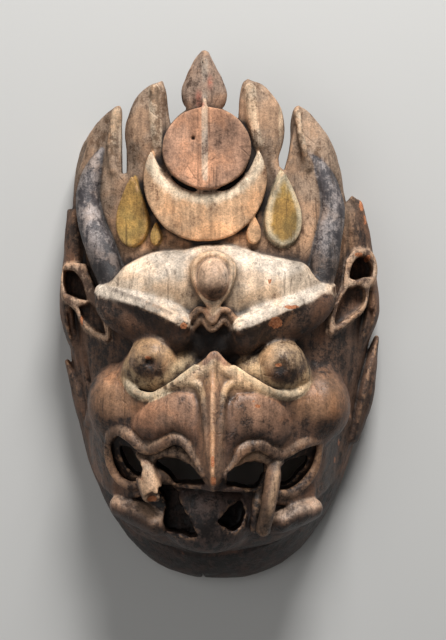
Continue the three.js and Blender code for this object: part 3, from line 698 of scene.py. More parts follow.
def carve_brows():
    mask.join(within(egg(*FOREHEAD_SWELLING), smooth_outline(FOREHEAD), 5), 2)
    for brow in BROWS:
        mask.join(rope(brow, faceted(BROW_SECTION), reach=22), 4)
    mask.join(egg(*BROW_BRIDGE), 6)
    for mass in BROW_MASSES:
        mask.join(egg(*mass), 7)
    mask.join(egg(*NOSE_FILL), 4)
    for root in NOSE_ROOT:
        mask.join(rope(root), 1.6)
    mask.join(board(drop(**THIRD_EYE), 90, 110, edge=3), 2.4)
    mask.cut(board(drop(**THIRD_EYE_MOAT), 108.6, FAR_FORWARD, edge=1.5), 1.5)
    mask.join(egg(*THIRD_EYE_KNOB), 1)
    mask.cut(egg(*FOREHEAD_HOLE), 0.4)
    mask.cut(rope(LEDGE_CRACK), 0.6)


def carve_muzzle():
    mask.join(gums(), 2)
    mask.join(muzzle(), 2)
    for cheek in CHEEKS:
        mask.join(egg(*cheek), 8)
    for floor in [*EYE_FLOORS, *EYE_CORNERS]:
        mask.join(egg(*floor), 4)
    for centre in EYES:
        mask.join(eyeball(centre), 2)
        mask.cut(egg([centre[0] - 1, centre[1] - 2, 109.5], [6, 5, 2.6], 20), 2)
    mask.cut(egg(*EYE_HOLE), 1)
    for lid in LIDS:
        mask.join(rope(on_muzzle(lid, 0.4)), 1.8)
    for fold in BEAK_FOLDS:
        mask.join(rope(on_muzzle(fold, -0.3)), 2)
    mask.join(rope(on_muzzle(BEAK_CAP, 0.2)), 2)
    mask.join(rope(on_muzzle(BEAK_TOP, 0.4)), 1.6)


def cut_worn(form, seed, depth):
    """Cuts a form with a torn, wavy edge."""
    spans = mask.spans(form, 4)
    wobble = clouds(mask.axes, (3.4, 3.4, 6), seed)[spans] * depth
    shape = form.distance(*mask.points(spans)) + wobble
    mask.field[spans] = soft_most(mask.field[spans], -shape, 1)


def carve_mouth():
    mask.join(egg(*JAW), 5)
    for lip in [*UPPER_LIPS, *MOUTH_CORNERS]:
        mask.join(lip_band(lip), 1.8)
    for lip in INNER_LIPS:
        mask.join(rope(lip), 1.8)
    for lobe in LOWER_LIP:
        mask.join(rope(lobe), 2)
    mask.join(rope(BEAK_BELOW), 7)
    mask.join(within(egg(*LOWER_BEAK_SWELLING), smooth_outline(LOWER_BEAK), 4), 2)
    for tooth in (FANG, FANG_RIDGE, FANG_STUMP, FANG_ROOT):
        mask.join(rope(tooth), 1.5)
    for pit in (LEFT_PIT, RIGHT_PIT):
        cut_worn(board(smooth_outline(pit), PIT_FLOOR, FAR_FORWARD, edge=2), 22, 1.1)
    mask.join(rope(FANG), 1.5)
    cut_worn(egg(*STUMP_BREAK), 23, 2.2)
    mask.cut(rope(on_shell(CHIN_GROOVE, 1.5, 1.8)), 2.5)


def moon():
    """The crescent, with a bevel along its inner edge."""
    low_y, outer = MOON_OUTER
    high_y, inner = MOON_INNER

    def distance(x, y, z):
        rim = np.hypot(x - MOON_X, y - low_y) - outer
        slope = 3.5 * np.clip((MOON_FRONT - z) / 5, 0, 1)
        bite = inner - slope - np.hypot(x - MOON_X, y - high_y)
        face = np.maximum(z - MOON_FRONT, MOON_BACK - z)
        return soft_most(soft_most(rim, bite, 0.8), face, 1.4)

    low = (MOON_X - outer, low_y - outer, MOON_BACK)
    high = (MOON_X + outer, low_y + outer, MOON_FRONT)
    return Form(low, high, distance)


def ground_by_sun():
    """The ground between the sun disc and the moon, which falls away towards the top."""

    def distance(x, y, z):
        off = np.hypot(x - MOON_X, y - MOON_INNER[0]) - MOON_INNER[1]
        face = (z - 93 + ramp(y, 96, 115) * 13) * 0.9
        rim = np.hypot(x - MOON_X, y - MOON_OUTER[0]) - MOON_OUTER[1] + 2
        return soft_most(np.maximum(off, rim), face, 2)

    reach = MOON_INNER[1]
    return Form((MOON_X - reach, MOON_INNER[0] - reach - 2, 66), (MOON_X + reach, 115, 94), distance)


def sun_gap():
    """The dark gap under the sun disc, closed at the very bottom."""

    def distance(x, y, z):
        off = np.hypot(x - SUN[0], (y - SUN[1]) / SUN_TALL)
        turn = np.degrees(np.arctan2(y - SUN[1], x - SUN[0]))
        width = 1.5 * ramp(-turn, 20, 62) * ramp(turn, -160, -118) * ramp(np.abs(turn + 88), 12, 20)
        return np.maximum(np.abs(off - SUN_RADIUS - 1.2) - width, 86 - z)

    reach = SUN_RADIUS + 5
    return Form((SUN[0] - reach, SUN[1] - reach, 84), (SUN[0] + reach, SUN[1], 110), distance)


def jewel_outline(jewel):
    return drop(jewel["x"], jewel["tip"], jewel["foot"], jewel["half_width"])


def jewel_board(jewel):
    return board(jewel_outline(jewel), jewel["back"], jewel["front"], jewel["lean"], jewel["x"])


def carve_crown():
    for swelling in CROWN_SWELLINGS:
        mask.join(egg(*swelling), 4)
    for ridge in CROWN_RIDGES:
        mask.join(rope(on_shell(ridge, 0, 2.2)), 5)
    for groove in CROWN_GROOVES:
        mask.cut(rope(on_shell(groove, 0.5, 1.6)), 3)
    mask.join(rope(FINIAL), 1.5)
    sun_outline = ring() * (SUN_RADIUS, SUN_RADIUS * SUN_TALL) + SUN
    mask.join(board(sun_outline, SUN_BACK, SUN_FRONT, edge=1.6), 1)
    mask.join(ground_by_sun(), 3)
    mask.join(moon(), 1)
    mask.cut(sun_gap(), 0.8)
    mask.join(rope(SPINE), 1.2)
    for jewel in JEWELS.values():
        mask.join(jewel_board(jewel), 1)
    mask.cut(egg(*SUN_HOLE), 0.5)
    mask.cut(rope(SUN_CRACK), 0.5)


def carve_sides():
    for horn in HORNS:
        mask.join(rope(horn), 1.5)
    for flame in HAIR:
        mask.join(rope(flame), 2.5)
    for groove in HAIR_GROOVES:
        mask.cut(rope(groove), 2.5)
    for stretches in EAR_LEAVES:
        mask.join(leaf(smooth_outline(stretches)), 2)
    for stretches, depth in EAR_BOWLS:
        mask.cut(leaf(smooth_outline(stretches), depth), 2)


def weather():
    for grain, seed, depth in TOOL_MARKS:
        mask.field += clouds(mask.axes, grain, seed) * depth


def carve_hollow():
    inside = shell(RIM_WIDTH, WALL, CHIN_WALL).distance(*mask.points())
    inside = even_distance(inside, GRID_CELL)
    chisel = clouds(mask.axes, (9, 24, 9), 11) * 0.9 + clouds(mask.axes, (4, 9, 4), 12) * 0.3
    mask.field = soft_most(mask.field, -(inside + chisel), 1.5)


def carve_openings():
    for stretches in MOUTH_OPENINGS:
        cut_worn(through(smooth_outline(stretches)), 21, 0.7)
    mask.cut(through(np.array(CHIN_CRACK)), 0.4)


def trim():
    """Keeps the carving inside the CAD's box and flat on its back rim."""
    room = 0.15
    for axis, a, b in zip(mask.points(), low_corner, high_corner):
        mask.field = np.maximum(mask.field, np.maximum(a / STEP + room - axis, axis - b / STEP + room))
    mask.field = np.maximum(mask.field, -mask.points()[2])


carve_shell()
carve_eyes()
carve_brows()
carve_muzzle()
carve_mouth()
carve_crown()
carve_sides()
weather()
carve_hollow()
carve_openings()
trim()


def skin(block, name):
    """The surface of the block as a mesh in metres, thinned where it is plain."""
    grid = openvdb.FloatGrid(background=5.0)
    grid.copyFromArray(np.ascontiguousarray(np.clip(block.field, -4, 4)))
    points, triangles, quads = grid.convertToPolygons(isovalue=0.0, adaptivity=0.0)
    corner = np.array([axis[0] for axis in block.axes])
    places = (points * block.cell + corner) * STEP
    mesh = bpy.data.meshes.new(name)
    mesh.vertices.add(len(places))
    mesh.vertices.foreach_set("co", places.astype(np.float32).ravel())
    mesh.loops.add(quads.size)
    mesh.loops.foreach_set("vertex_index", quads.astype(np.int32).ravel())
    mesh.polygons.add(len(quads))
    mesh.polygons.foreach_set("loop_start", np.arange(0, quads.size, 4, dtype=np.int32))
    mesh.update()
    mesh.validate()
    piece = bpy.data.objects.new(name, mesh)
    bpy.context.scene.collection.objects.link(piece)
    thin = piece.modifiers.new("thin", "DECIMATE")
    thin.ratio = min(1, MOST_TRIANGLES / (2 * len(quads)))
    bpy.context.view_layer.update()
    shown = piece.evaluated_get(bpy.context.evaluated_depsgraph_get())
    thinned = bpy.data.meshes.new_from_object(shown)
    piece.modifiers.clear()
    piece.data = thinned
    thinned.shade_smooth()
    return piece


piece = skin(mask, "mask_carving")


def softened(values, radius, cell):
    """Averages a grid over a box of that radius, twice."""
    width = max(1, int(round(radius / cell)))
    for axis in (0, 1, 2, 0, 1, 2):
        edges = [(width + 1, width) if k == axis else (0, 0) for k in range(3)]
        total = np.cumsum(np.pad(values, edges, mode="edge"), axis=axis, dtype=np.float32)
        count = values.shape[axis]
        high = np.take(total, range(2 * width + 1, 2 * width + 1 + count), axis)
        values = (high - np.take(total, range(count), axis)) / (2 * width + 1)
    return values


def at_points(values, block, point):
    """A grid's values at points between its corners."""
    place = [(point[k] - block.axes[k][0]) / block.cell for k in range(3)]
    first = [np.clip(p.astype(int), 0, n - 2) for p, n in zip(place, values.shape)]
    part = [p - f for p, f in zip(place, first)]
    total = 0
    for dx in (0, 1):
        for dy in (0, 1):
            for dz in (0, 1):
                share = np.abs(1 - dx - part[0]) * np.abs(1 - dy - part[1]) * np.abs(1 - dz - part[2])
                total = total + share * values[first[0] + dx, first[1] + dy, first[2] + dz]
    return total


def tone(red, green, blue):
    """A colour as read off a screen, as the linear light that a shader takes."""
    values = np.array([red, green, blue]) / 255
    return np.where(values <= 0.04045, values / 12.92, ((values + 0.055) / 1.055) ** 2.4)


DARK_WOOD = tone(52, 38, 30)
OLD_BROWN = tone(98, 72, 56)
CREAM = tone(228, 209, 188)
FANG_BROWN = tone(108, 86, 70)
FANG_UNDER = tone(60, 45, 36)

# Each coat: its colour, the colour under it, how much of it is left, and its polish.
COATS = {
    "crown": (tone(162, 136, 114), tone(138, 106, 80), 0.62, 0.1),
    "crown foot": (tone(208, 162, 124), tone(152, 112, 82), 0.58),
    "sides": (tone(112, 84, 66), tone(70, 51, 40), 0.6),
    "temples": (tone(104, 78, 62), tone(64, 47, 38), 0.6),
    "jaw": (tone(72, 54, 46), tone(36, 27, 23), 0.5, 0.75),
    "worn ridge": (tone(210, 188, 162), tone(160, 132, 106), 0.5),
    "worn edge": (tone(214, 192, 166), None, 0.7),
    "muzzle": (tone(116, 85, 65), tone(62, 45, 36), 0.66, 0.85),
    # a painted highlight on the tops of the cheeks
    "cheek": (tone(166, 124, 92), None, 0.85),
    "cheek shade": (tone(66, 47, 36), None, 0.4),
    "painted light on the muzzle top": (tone(160, 130, 102), None, 0.7),
    "lobe painted highlight": (tone(188, 150, 122), None, 0.7),
    "patina and painted shade by the mouth": (tone(94, 70, 56), tone(52, 38, 31), 0.55),
    "lobe": (tone(168, 127, 101), None, 0.74),
    "lobe shade": (tone(88, 65, 53), None, 0.6),
    "beak flank": (tone(122, 93, 73), None, 0.65),
    "beak ridge": (tone(204, 160, 124), tone(150, 100, 70), 0.66),
    "forehead": (CREAM, tone(160, 130, 102), 0.84, 0.55),
    "above the brows": (tone(198, 172, 144), None, 0.7),
    "forehead middle": (tone(206, 178, 146), None, 0.68),
    "round the third eye": (tone(184, 154, 124), None, 0.62),
    "brow ledge": (CREAM, tone(190, 158, 130), 0.92),
    "painted shade under the brows": (tone(78, 56, 42), tone(40, 28, 22), 0.55, 0.6),
    "ledge crack": (tone(70, 52, 42), tone(50, 36, 28)),
    "nose fill": (tone(112, 84, 66), tone(62, 45, 36), 0.6),
    "nose root": (tone(150, 120, 96), tone(88, 66, 52), 0.6),
    "painted shade in the nose corners": (tone(58, 42, 32), tone(36, 26, 20), 0.55, 0.3),
    "painted shade in the nose recess": (tone(34, 24, 18), tone(22, 15, 12), 0.5, 0.1),
    "third eye frame": (tone(208, 182, 154), None, 0.75),
    "third eye stain": (tone(176, 118, 78), tone(110, 80, 60), 0.6),
    "third eye": (tone(196, 170, 148), tone(120, 90, 70), 0.7),
    "third eye shade": (tone(118, 90, 72), tone(70, 50, 40), 0.5),
    "eye floor": (tone(178, 152, 118), tone(112, 86, 62), 0.56),
    "eyeball": (tone(176, 146, 114), tone(112, 84, 60), 0.6, 0.9),
    "eyeball shade": (tone(112, 84, 62), tone(64, 46, 35), 0.5),
    "left pupil": (tone(82, 56, 40), tone(30, 22, 18), 0.45),
    "right pupil": (tone(70, 48, 36), tone(34, 24, 19), 0.5),
    "eye corner": (tone(206, 182, 146), tone(140, 112, 82), 0.62),
    "lid": (tone(226, 202, 168), tone(160, 130, 98), 0.76, 0.5),
    "fold": (tone(196, 166, 132), tone(124, 98, 74), 0.58),
    "fold shade": (tone(118, 92, 73), tone(80, 60, 47), 0.6),
    "beak cap": (tone(206, 176, 144), tone(120, 90, 68), 0.6),
    "beak top": (tone(168, 132, 110), None, 0.7),
    "gum": (tone(82, 62, 50), tone(36, 26, 21), 0.4),
    "lip": (tone(118, 91, 73), tone(76, 56, 45), 0.62, 0.9),
    "lip painted highlight": (tone(162, 132, 108), tone(112, 86, 68), 0.6),
    "inner lip": (tone(152, 124, 102), tone(72, 54, 44), 0.6),
    "mouth corner": (tone(128, 101, 82), tone(70, 52, 43), 0.58),
    "fang": (FANG_BROWN, FANG_UNDER, 0.6),
    "fang in painted shade": (FANG_BROWN * 0.5, FANG_UNDER * 0.5, 0.6),
    "fang painted highlight": (tone(168, 143, 120), tone(110, 86, 68), 0.6),
    "stump break with painted highlight": (tone(204, 174, 146), tone(176, 120, 84), 0.62),
    "lower lip": (tone(112, 89, 75), tone(76, 58, 48), 0.6, 0.9),
    "lower lip painted highlight": (tone(168, 142, 122), tone(116, 92, 76), 0.6),
    "lower lip painted shade": (tone(72, 54, 46), tone(44, 33, 28), 0.6),
    "lower beak": (tone(62, 48, 43) * 1.6, tone(36, 28, 26), 0.6, 0.9),
    "lower beak painted sheen": (tone(116, 96, 88), tone(60, 46, 41), 0.5, 1.0),
    "chin": (tone(58, 43, 38), tone(34, 25, 22), 0.5),
    "chin joint": (tone(112, 76, 58), tone(60, 42, 34), 0.5),
    "moon": (tone(208, 166, 128), tone(160, 112, 78), 0.7),
    "moon bevel": (tone(238, 214, 184), tone(190, 150, 116), 0.8),
    "ground by sun": (tone(156, 122, 96), tone(98, 72, 56), 0.6),
    "sun": (tone(180, 138, 112), tone(140, 100, 78), 0.75),
    "finial": (tone(170, 142, 122), tone(116, 88, 70), 0.62),
    "spine": (tone(188, 168, 150), tone(140, 116, 102), 0.6),
    "finial stain": (tone(182, 98, 78),),
    "jewel": (tone(190, 154, 88), tone(158, 122, 68), 0.9),
    "pale bud": (tone(214, 168, 126), tone(158, 122, 68), 0.9),
    "jewel rim": (tone(224, 204, 168), None, 0.85),
    "horn": (tone(138, 127, 122), tone(84, 78, 80), 0.52, 0.6),
    "horn painted highlight": (tone(158, 150, 148), None, 0.6),
    "horn foot": (tone(98, 86, 80), tone(56, 50, 50), 0.46),
    "ear": (tone(186, 154, 128), tone(118, 90, 72), 0.55),
    "ear rim painted highlight": (tone(190, 162, 136), None, 0.48),
    "ear bowl": (tone(112, 85, 68), tone(64, 48, 38), 0.5),
    "back": (tone(98, 72, 54), tone(70, 50, 38), 0.5),
}

# Places seen from the front, as ovals: x, y, half width and, where it differs, half height.
CROWN_WEAR = [(43.5, 140, 1.6, 14), (-69.5, 132, 1.6, 16)]
# Painted highlights on the swellings beside the beak.
LOBE_HIGHLIGHTS = [(-36, -66, 13, 9), (27, -66, 13, 9), (-18, -58, 5, 6), (12, -58, 5, 6)]
FINIAL_STAINS = [(-14, 155, 3, 7), (-6, 166, 2.2, 6), (-12, 149.5, 3, 2.5)]
# Where the paint has chipped away to bare wood.
CHIPS = [
    (39.5, -2, 7, 6), (50, 9, 7, 2.2), (-24, -4, 3.5), (99, 46.5, 5, 2.4), (106.5, 44, 2.4, 4),
    (103, 83, 3, 6), (105, 72, 1.6, 6), (-3.6, -109, 3, 5), (-46, -124, 5, 3), (-4, -96, 2, 6),
    (-97.5, -1, 1.6, 6), (-48.5, -26, 3.6, 1.6), (41, -31, 4, 1.6), (27, -59, 2.4, 2),
    (31, -65, 1.6, 2.4), (23.5, -55.5, 2, 1), (86, -88, 1.4, 4), (83, -100, 1.4, 3),
    (-26.5, 150, 1.2, 3), (35.5, 27, 1.4, 3),
]


class Paint:
    """The colours at each point of the mesh: what is under, what is over it, and how much is left."""

    def __init__(self, piece):
        count = len(piece.data.vertices)
        rows = np.empty((2, count * 3), np.float32)
        piece.data.vertices.foreach_get("co", rows[0])
        piece.data.vertices.foreach_get("normal", rows[1])
        self.point = (rows[0].reshape(-1, 3) / STEP).T.astype(np.float32)
        self.normal = rows[1].reshape(-1, 3).T
        self.under = np.tile(DARK_WOOD, (count, 1))
        self.over = np.tile(OLD_BROWN, (count, 1))
        self.left = np.full(count, 0.55)
        self.polish = np.full(count, 0.5)
        self.bare = np.zeros(count)

    def layer(self, share, over, under=None, left=None, polish=None):
        new = {"over": over, "under": under, "left": left, "polish": polish}
        for name, value in new.items():
            if value is not None:
                part = share[:, None] if name in ("over", "under") else share
                setattr(self, name, getattr(self, name) * (1 - part) + value * part)

    def coat(self, name, share):
        self.layer(share, *COATS[name])

    def spot(self, x, y, wide, tall=None, soft=0.5):
        """One at a place seen from the front, falling to nothing at the edge of an oval."""
        off = np.hypot((self.point[0] - x) / wide, (self.point[1] - y) / (tall or wide))
        return (1 - ramp(off, soft, 1.25)) * ramp(self.point[2], 28, 34)

    def near(self, form, edge=1.2, reach=0.6):
        """One inside the form and its skin, falling to nothing over an edge."""
        x, y, z = self.point
        box = np.ones(len(x), bool)
        for value, a, b in zip(self.point, form.low, form.high):
            box &= (value > a - 4) & (value < b + 4)
        share = np.zeros(len(x))
        share[box] = 1 - ramp(form.distance(x[box], y[box], z[box]), reach, reach + edge)
        return share


def paint_ground(paint):
    """The crown, darker towards the sides, and the lower face, before the relief on them."""
    x, y, z = paint.point
    crown = ramp(y, 40, 58)
    paint.coat("crown", crown)
    paint.coat("crown foot", crown * ramp(84 - y, 0, 34))
    # darker towards the sides: paint loss there, and painted shade where the light falls off
    paint.coat("sides", ramp(np.abs(x), 88, 102) * ramp(112 - y, 0, 30))
    paint.coat("temples", ramp(np.abs(x), 84, 94) * ramp(30 - y, 0, 20) * (1 - ramp(z, 62, 70)))
    paint.coat("jaw", ramp(-y, 100, 128))
    for ridge in CROWN_RIDGES:
        share = paint.near(rope(on_shell(ridge, 0, 2.2)), 0.6, 1.5)
        paint.coat("worn ridge", share * ramp(y, 112, 130) * 0.8)
    for worn in CROWN_WEAR:
        paint.coat("worn edge", paint.spot(*worn) * 0.8)


def paint_muzzle(paint):
    """The muzzle, the cheeks and the swellings beside the beak, with painted highlights and painted shade on
    them.
    """
    x, y, z = paint.point
    on_skin = (1 - ramp(flat_distance(MUZZLE_OUTLINE, x, y), -1, 2)) * ramp(z, 40, 50)
    off = np.abs(x - MUZZLE_MIDDLE)
    paint.coat("muzzle", on_skin)
    # painted highlights on the tops of the cheeks, and painted shade with dark patina low on them
    for cheek_x, cheek_y in ((-70, -52), (69, -54)):
        paint.coat("cheek", paint.spot(cheek_x, cheek_y, 21, 19, 0.2) * on_skin)
        paint.coat("cheek shade", paint.spot(cheek_x, -80, 22, 15, 0.2) * on_skin)
    # painted light: the top of the muzzle is lighter
    paint.coat("painted light on the muzzle top", ramp(y, -60, -44) * (1 - ramp(off, 40, 58)) * on_skin)
    # painted highlights on the swellings beside the beak
    for light in LOBE_HIGHLIGHTS:
        paint.coat("lobe painted highlight", paint.spot(*light, 0.1) * on_skin * 0.6)
    # dark patina and painted shade low on the flanks, towards the corners of the mouth
    paint.coat("patina and painted shade by the mouth", ramp(-y, 66, 86) * ramp(off, 40, 64) * on_skin)
    for lobe in LOBES:
        share = (1 - ramp(flat_distance(np.array(lobe), x, y), -0.5, 1.5)) * ramp(z, 88, 92)
        paint.coat("lobe", share * 0.8)
        # painted shade: the lower part of each swelling is darker
        paint.coat("lobe shade", share * ramp(-y, 60, 86))
    from_ridge = np.abs(x + 4.1)
    paint.coat("beak flank", (1 - ramp(from_ridge, 6, 11)) * ramp(z, 112, 116) * ramp(-y, 38, 50))
    paint.coat("beak ridge", (1 - ramp(from_ridge, 0.7, 2)) * ramp(z, 116, 120) * ramp(-y, 34, 40))


def paint_brows(paint):
    """The forehead with the third eye, the brows and the root of the nose, with painted light and shade on
    the brows and painted shade round the nose and the third eye.
    """
    x, y, z = paint.point
    edge = flat_distance(smooth_outline(FOREHEAD), x, y)
    field = (1 - ramp(edge, -1, 1)) * ramp(z, 72, 80)
    paint.coat("forehead", field)
    for brow in BROWS:
        above = paint.near(rope([[a, b + 9, c, 5] for a, b, c, _ in brow]), 4, 4)
        paint.coat("above the brows", above * field * 0.7)
    paint.coat("forehead middle", paint.spot(-3.8, 14, 46, 24, 0.1) * field * 0.8)
    paint.coat("round the third eye", paint.spot(-3.8, 26, 23, 25, 0.3) * field * 0.8)
    for brow in BROWS:
        share = paint.near(rope(brow, faceted(BROW_SECTION), reach=24), 1, 0.8)
        # painted light and shade: faces that turn up get the cream of the ledge, faces that turn down a
        # painted shade of dark brown, lighter on the right brow
        lit = ramp(paint.normal[1], -0.28, 0.2)
        paint.coat("brow ledge", share * lit)
        right = ramp(x, 20, 60)[:, None]
        face = tone(62, 43, 33) * (1 - right) + tone(112, 82, 60) * right
        paint.layer(share * (1 - lit), face, DARK_WOOD, 0.5, 0.7)
    # painted shade on the swellings under the brows
    for mass in BROW_MASSES:
        paint.coat("painted shade under the brows", paint.near(egg(*mass), 1.2, 1) * ramp(-4 - y, 0, 5))
    paint.coat("ledge crack", paint.near(rope(LEDGE_CRACK), 0.2, 0.8) * 0.5)
    paint.coat("nose fill", paint.near(egg(*NOSE_FILL), 1.5))
    for root in NOSE_ROOT:
        paint.coat("nose root", paint.near(rope(root), 0.6))
    # painted shade in the corners beside the nose
    for corner_x in (-24, 15):
        paint.coat("painted shade in the nose corners", paint.spot(corner_x, -18, 13, 9, 0.4) * (1 - ramp(y, -13, -8)))
    # painted shade in the recess at the root of the nose
    paint.coat("painted shade in the nose recess", paint.spot(-4, -15, 24, 11, 0.5) * (1 - ramp(z, 102, 108)))
    paint.coat("third eye frame", paint.near(board(drop(**THIRD_EYE), 90, 112, edge=3), 1))
    stain = paint.spot(-15, 22, 3, 10, 0.1) + paint.spot(-8, 8, 4, 5, 0.1)
    paint.coat("third eye stain", np.clip(stain, 0, 1) * 0.6)
    knob = paint.near(egg([-3.8, 28.5, 107], [11, 14.5, 14.5]), 1)
    paint.coat("third eye", knob)
    # painted shade on the lower part of the knob
    paint.coat("third eye shade", knob * ramp(28 - y, 0, 9))


def paint_eyes(paint):
    """The eyes, their lids and the folds at the top of the beak; the balls have painted shade on their lower
    parts.
    """
    x, y, z = paint.point
    for floor in [*EYE_FLOORS, *EYE_CORNERS]:
        paint.coat("eye floor", paint.near(egg(*floor), 2, 1) * ramp(z, 84, 90) * ramp(-12 - y, 0, 5))
    for centre in EYES:
        ball = paint.near(eyeball(centre), 1)
        # painted light and shade: the ball is pale, with a painted shade over its lower part
        paint.coat("eyeball", ball)
        paint.coat("eyeball shade", ball * ramp(centre[1] - y, -5, 8))
    paint.coat("left pupil", paint.spot(-47, -31, 7, 6, 0.3))
    paint.coat("right pupil", paint.spot(43.5, -38, 9, 7, 0.3))
    for corner in ((-27, -33, 9, 6), (24, -36, 9, 6)):
        share = paint.spot(*corner, 0.2) * (1 - ramp(z, 108, 112)) * ramp(z, 84, 90)
        paint.coat("eye corner", share * 0.8)
    for lid in LIDS:
        paint.coat("lid", paint.near(rope(on_muzzle(lid, 0.6)), 0.8))
    for fold in BEAK_FOLDS:
        share = paint.near(rope(on_muzzle(fold, 0)), 0.8)
        paint.coat("fold", share * (1 - ramp(-y, 44, 64)))
        paint.coat("fold shade", share * ramp(-y, 50, 72))
    paint.coat("beak cap", paint.near(rope(on_muzzle(BEAK_CAP, 0.2)), 0.8))
    paint.coat("beak top", paint.near(rope(on_muzzle(BEAK_TOP, 0.4)), 1))


def paint_mouth(paint):
    """The lips, teeth, lower beak and chin, with painted highlights and painted shade on the lips, teeth and
    lower beak.
    """
    x, y, z = paint.point
    sideways, upward, outward = paint.normal
    floor = flat_distance(MOUTH_OUTLINE, x, y)
    paint.coat("gum", (1 - ramp(floor, -1, 1)) * (1 - ramp(z, 112, 118)))
    for lip in UPPER_LIPS:
        share = paint.near(lip_band(lip), 0.8) * (1 - ramp(-y, 94, 106) * 0.6)
        paint.coat("lip", share)
        # painted highlight where the lip turns up
        paint.coat("lip painted highlight", share * ramp(upward, -0.1, 0.5))
    for lip in INNER_LIPS:
        paint.coat("inner lip", paint.near(rope(lip), 0.8))
    for lip in MOUTH_CORNERS:
        paint.coat("mouth corner", paint.near(lip_band(lip), 0.8))
    # the ridge beside the fang and the roots take the fang's colours at half brightness, as painted shade
    for root in (FANG_RIDGE, FANG_ROOT):
        paint.coat("fang in painted shade", paint.near(rope(root), 0.8))
    for fang in (FANG, FANG_STUMP):
        paint.coat("fang", paint.near(rope(fang), 0.8))
    # painted highlight where the fang faces out and to the right
    light = ramp(outward + sideways * 0.4, 0.86, 1.05)
    paint.coat("fang painted highlight", paint.near(rope(FANG), 0.8) * light)
    # the broken face of the stump is paler wood, with a painted highlight where it faces out
    stump = paint.near(rope(FANG_STUMP), 1.2)
    paint.coat("stump break with painted highlight", stump * ramp(z, 98, 102) * ramp(outward, 0.3, 0.8))
    for lobe in LOWER_LIP:
        share = paint.near(rope(lobe), 1)
        # painted highlight where the lower lip turns up, painted shade where it turns down
        paint.coat("lower lip", share)
        paint.coat("lower lip painted highlight", share * ramp(upward, -0.05, 0.5))
        paint.coat("lower lip painted shade", share * ramp(-upward, 0.0, 0.5))
    edge = flat_distance(smooth_outline(LOWER_BEAK), x, y)
    lower_beak = (1 - ramp(edge, 0, 3)) * ramp(z, 60, 66)
    paint.coat("lower beak", lower_beak)
    # a painted highlight on the lower beak
    paint.coat("lower beak painted sheen", paint.spot(-8, -137, 20, 18, 0.1) * lower_beak * 0.7)
    paint.coat("chin", ramp(-y, 158, 166))
    joint = rope(on_shell(CHIN_GROOVE[3:7], 0.5, 0.8))
    paint.coat("chin joint", paint.near(joint, 0.5, 1) * 0.6)


def paint_crown(paint):
    """The sun, moon, finial and jewels, with painted light on the moon's bevel."""
    x, y, z = paint.point
    on_moon = paint.near(moon(), 0.8)
    paint.coat("moon", on_moon)
    inward = np.hypot(x - MOON_X, y - MOON_INNER[0]) - MOON_INNER[1]
    # the bevel is cream paint, made lighter as painted light because it faces up
    paint.coat("moon bevel", on_moon * (1 - ramp(inward, 3, 6.5)) * ramp(z, 84, 87))
    ground = (1 - ramp(inward, -1, 0.5)) * ramp(108 - y, 0, 14) * (1 - ramp(z, 91, 93))
    paint.coat("ground by sun", ground * ramp(z, 76, 80))
    off = np.hypot(x - SUN[0], (y - SUN[1]) / SUN_TALL)
    paint.coat("sun", (1 - ramp(off, SUN_RADIUS, SUN_RADIUS + 1)) * ramp(z, 88, 91))
    paint.coat("finial", paint.near(rope(FINIAL), 1))
    paint.coat("spine", paint.near(rope(SPINE), 0.7))
    for stain in FINIAL_STAINS:
        paint.coat("finial stain", paint.spot(*stain, 0.1) * 0.7)
    for name, jewel in JEWELS.items():
        share = paint.near(jewel_board(jewel), 0.6, 0.3)
        share = share * ramp(z, jewel["back"] + 6, jewel["back"] + 9)
        paint.coat("pale bud" if name == "right_bud" else "jewel", share)
        if name == "right_jewel":
            lean = math.radians(jewel["lean"])
            across = jewel["x"] + (x - jewel["x"]) * math.cos(lean) - (z - jewel["back"]) * math.sin(lean)
            inside = -flat_distance(jewel_outline(jewel), across, y)
            paint.coat("jewel rim", share * (1 - ramp(inside, 3.2, 4.8)))


def paint_sides(paint):
    """The horns and the ears, with painted highlights on the horns and the rims of the ears."""
    x, y, z = paint.point
    upward, outward = paint.normal[1:]
    for horn in HORNS:
        share = paint.near(rope(horn), 1)
        paint.coat("horn", share)
        # painted highlight where the horn faces up and out
        paint.coat("horn painted highlight", share * ramp(upward + outward * 0.5, 0.4, 0.9) * 0.5)
        paint.coat("horn foot", share * ramp(66 - y, 0, 34))
    for stretches in EAR_LEAVES:
        paint.coat("ear", paint.near(leaf(smooth_outline(stretches)), 1, 1))
    for stretches, _ in EAR_BOWLS:
        inside = -flat_distance(smooth_outline(stretches), x, y)
        edge = ramp(inside, -3.6, -2) * (1 - ramp(inside, -0.4, 0.6)) * ramp(z, 48, 52)
        # painted highlight on the rims of the bowls where they face out
        paint.coat("ear rim painted highlight", edge * ramp(outward, 0.2, 0.6) * 0.7)
        paint.coat("ear bowl", ramp(inside, 0, 1.5) * ramp(z, 24, 30))


def write_colour(piece, name, values):
    rows = np.ones((len(values), 4), np.float32)
    rows[:, :3] = values
    piece.data.attributes.new(name, "FLOAT_COLOR", "POINT").data.foreach_set("color", rows.ravel())


def write_number(piece, name, values):
    layer = piece.data.attributes.new(name, "FLOAT", "POINT")
    layer.data.foreach_set("value", values.astype(np.float32))


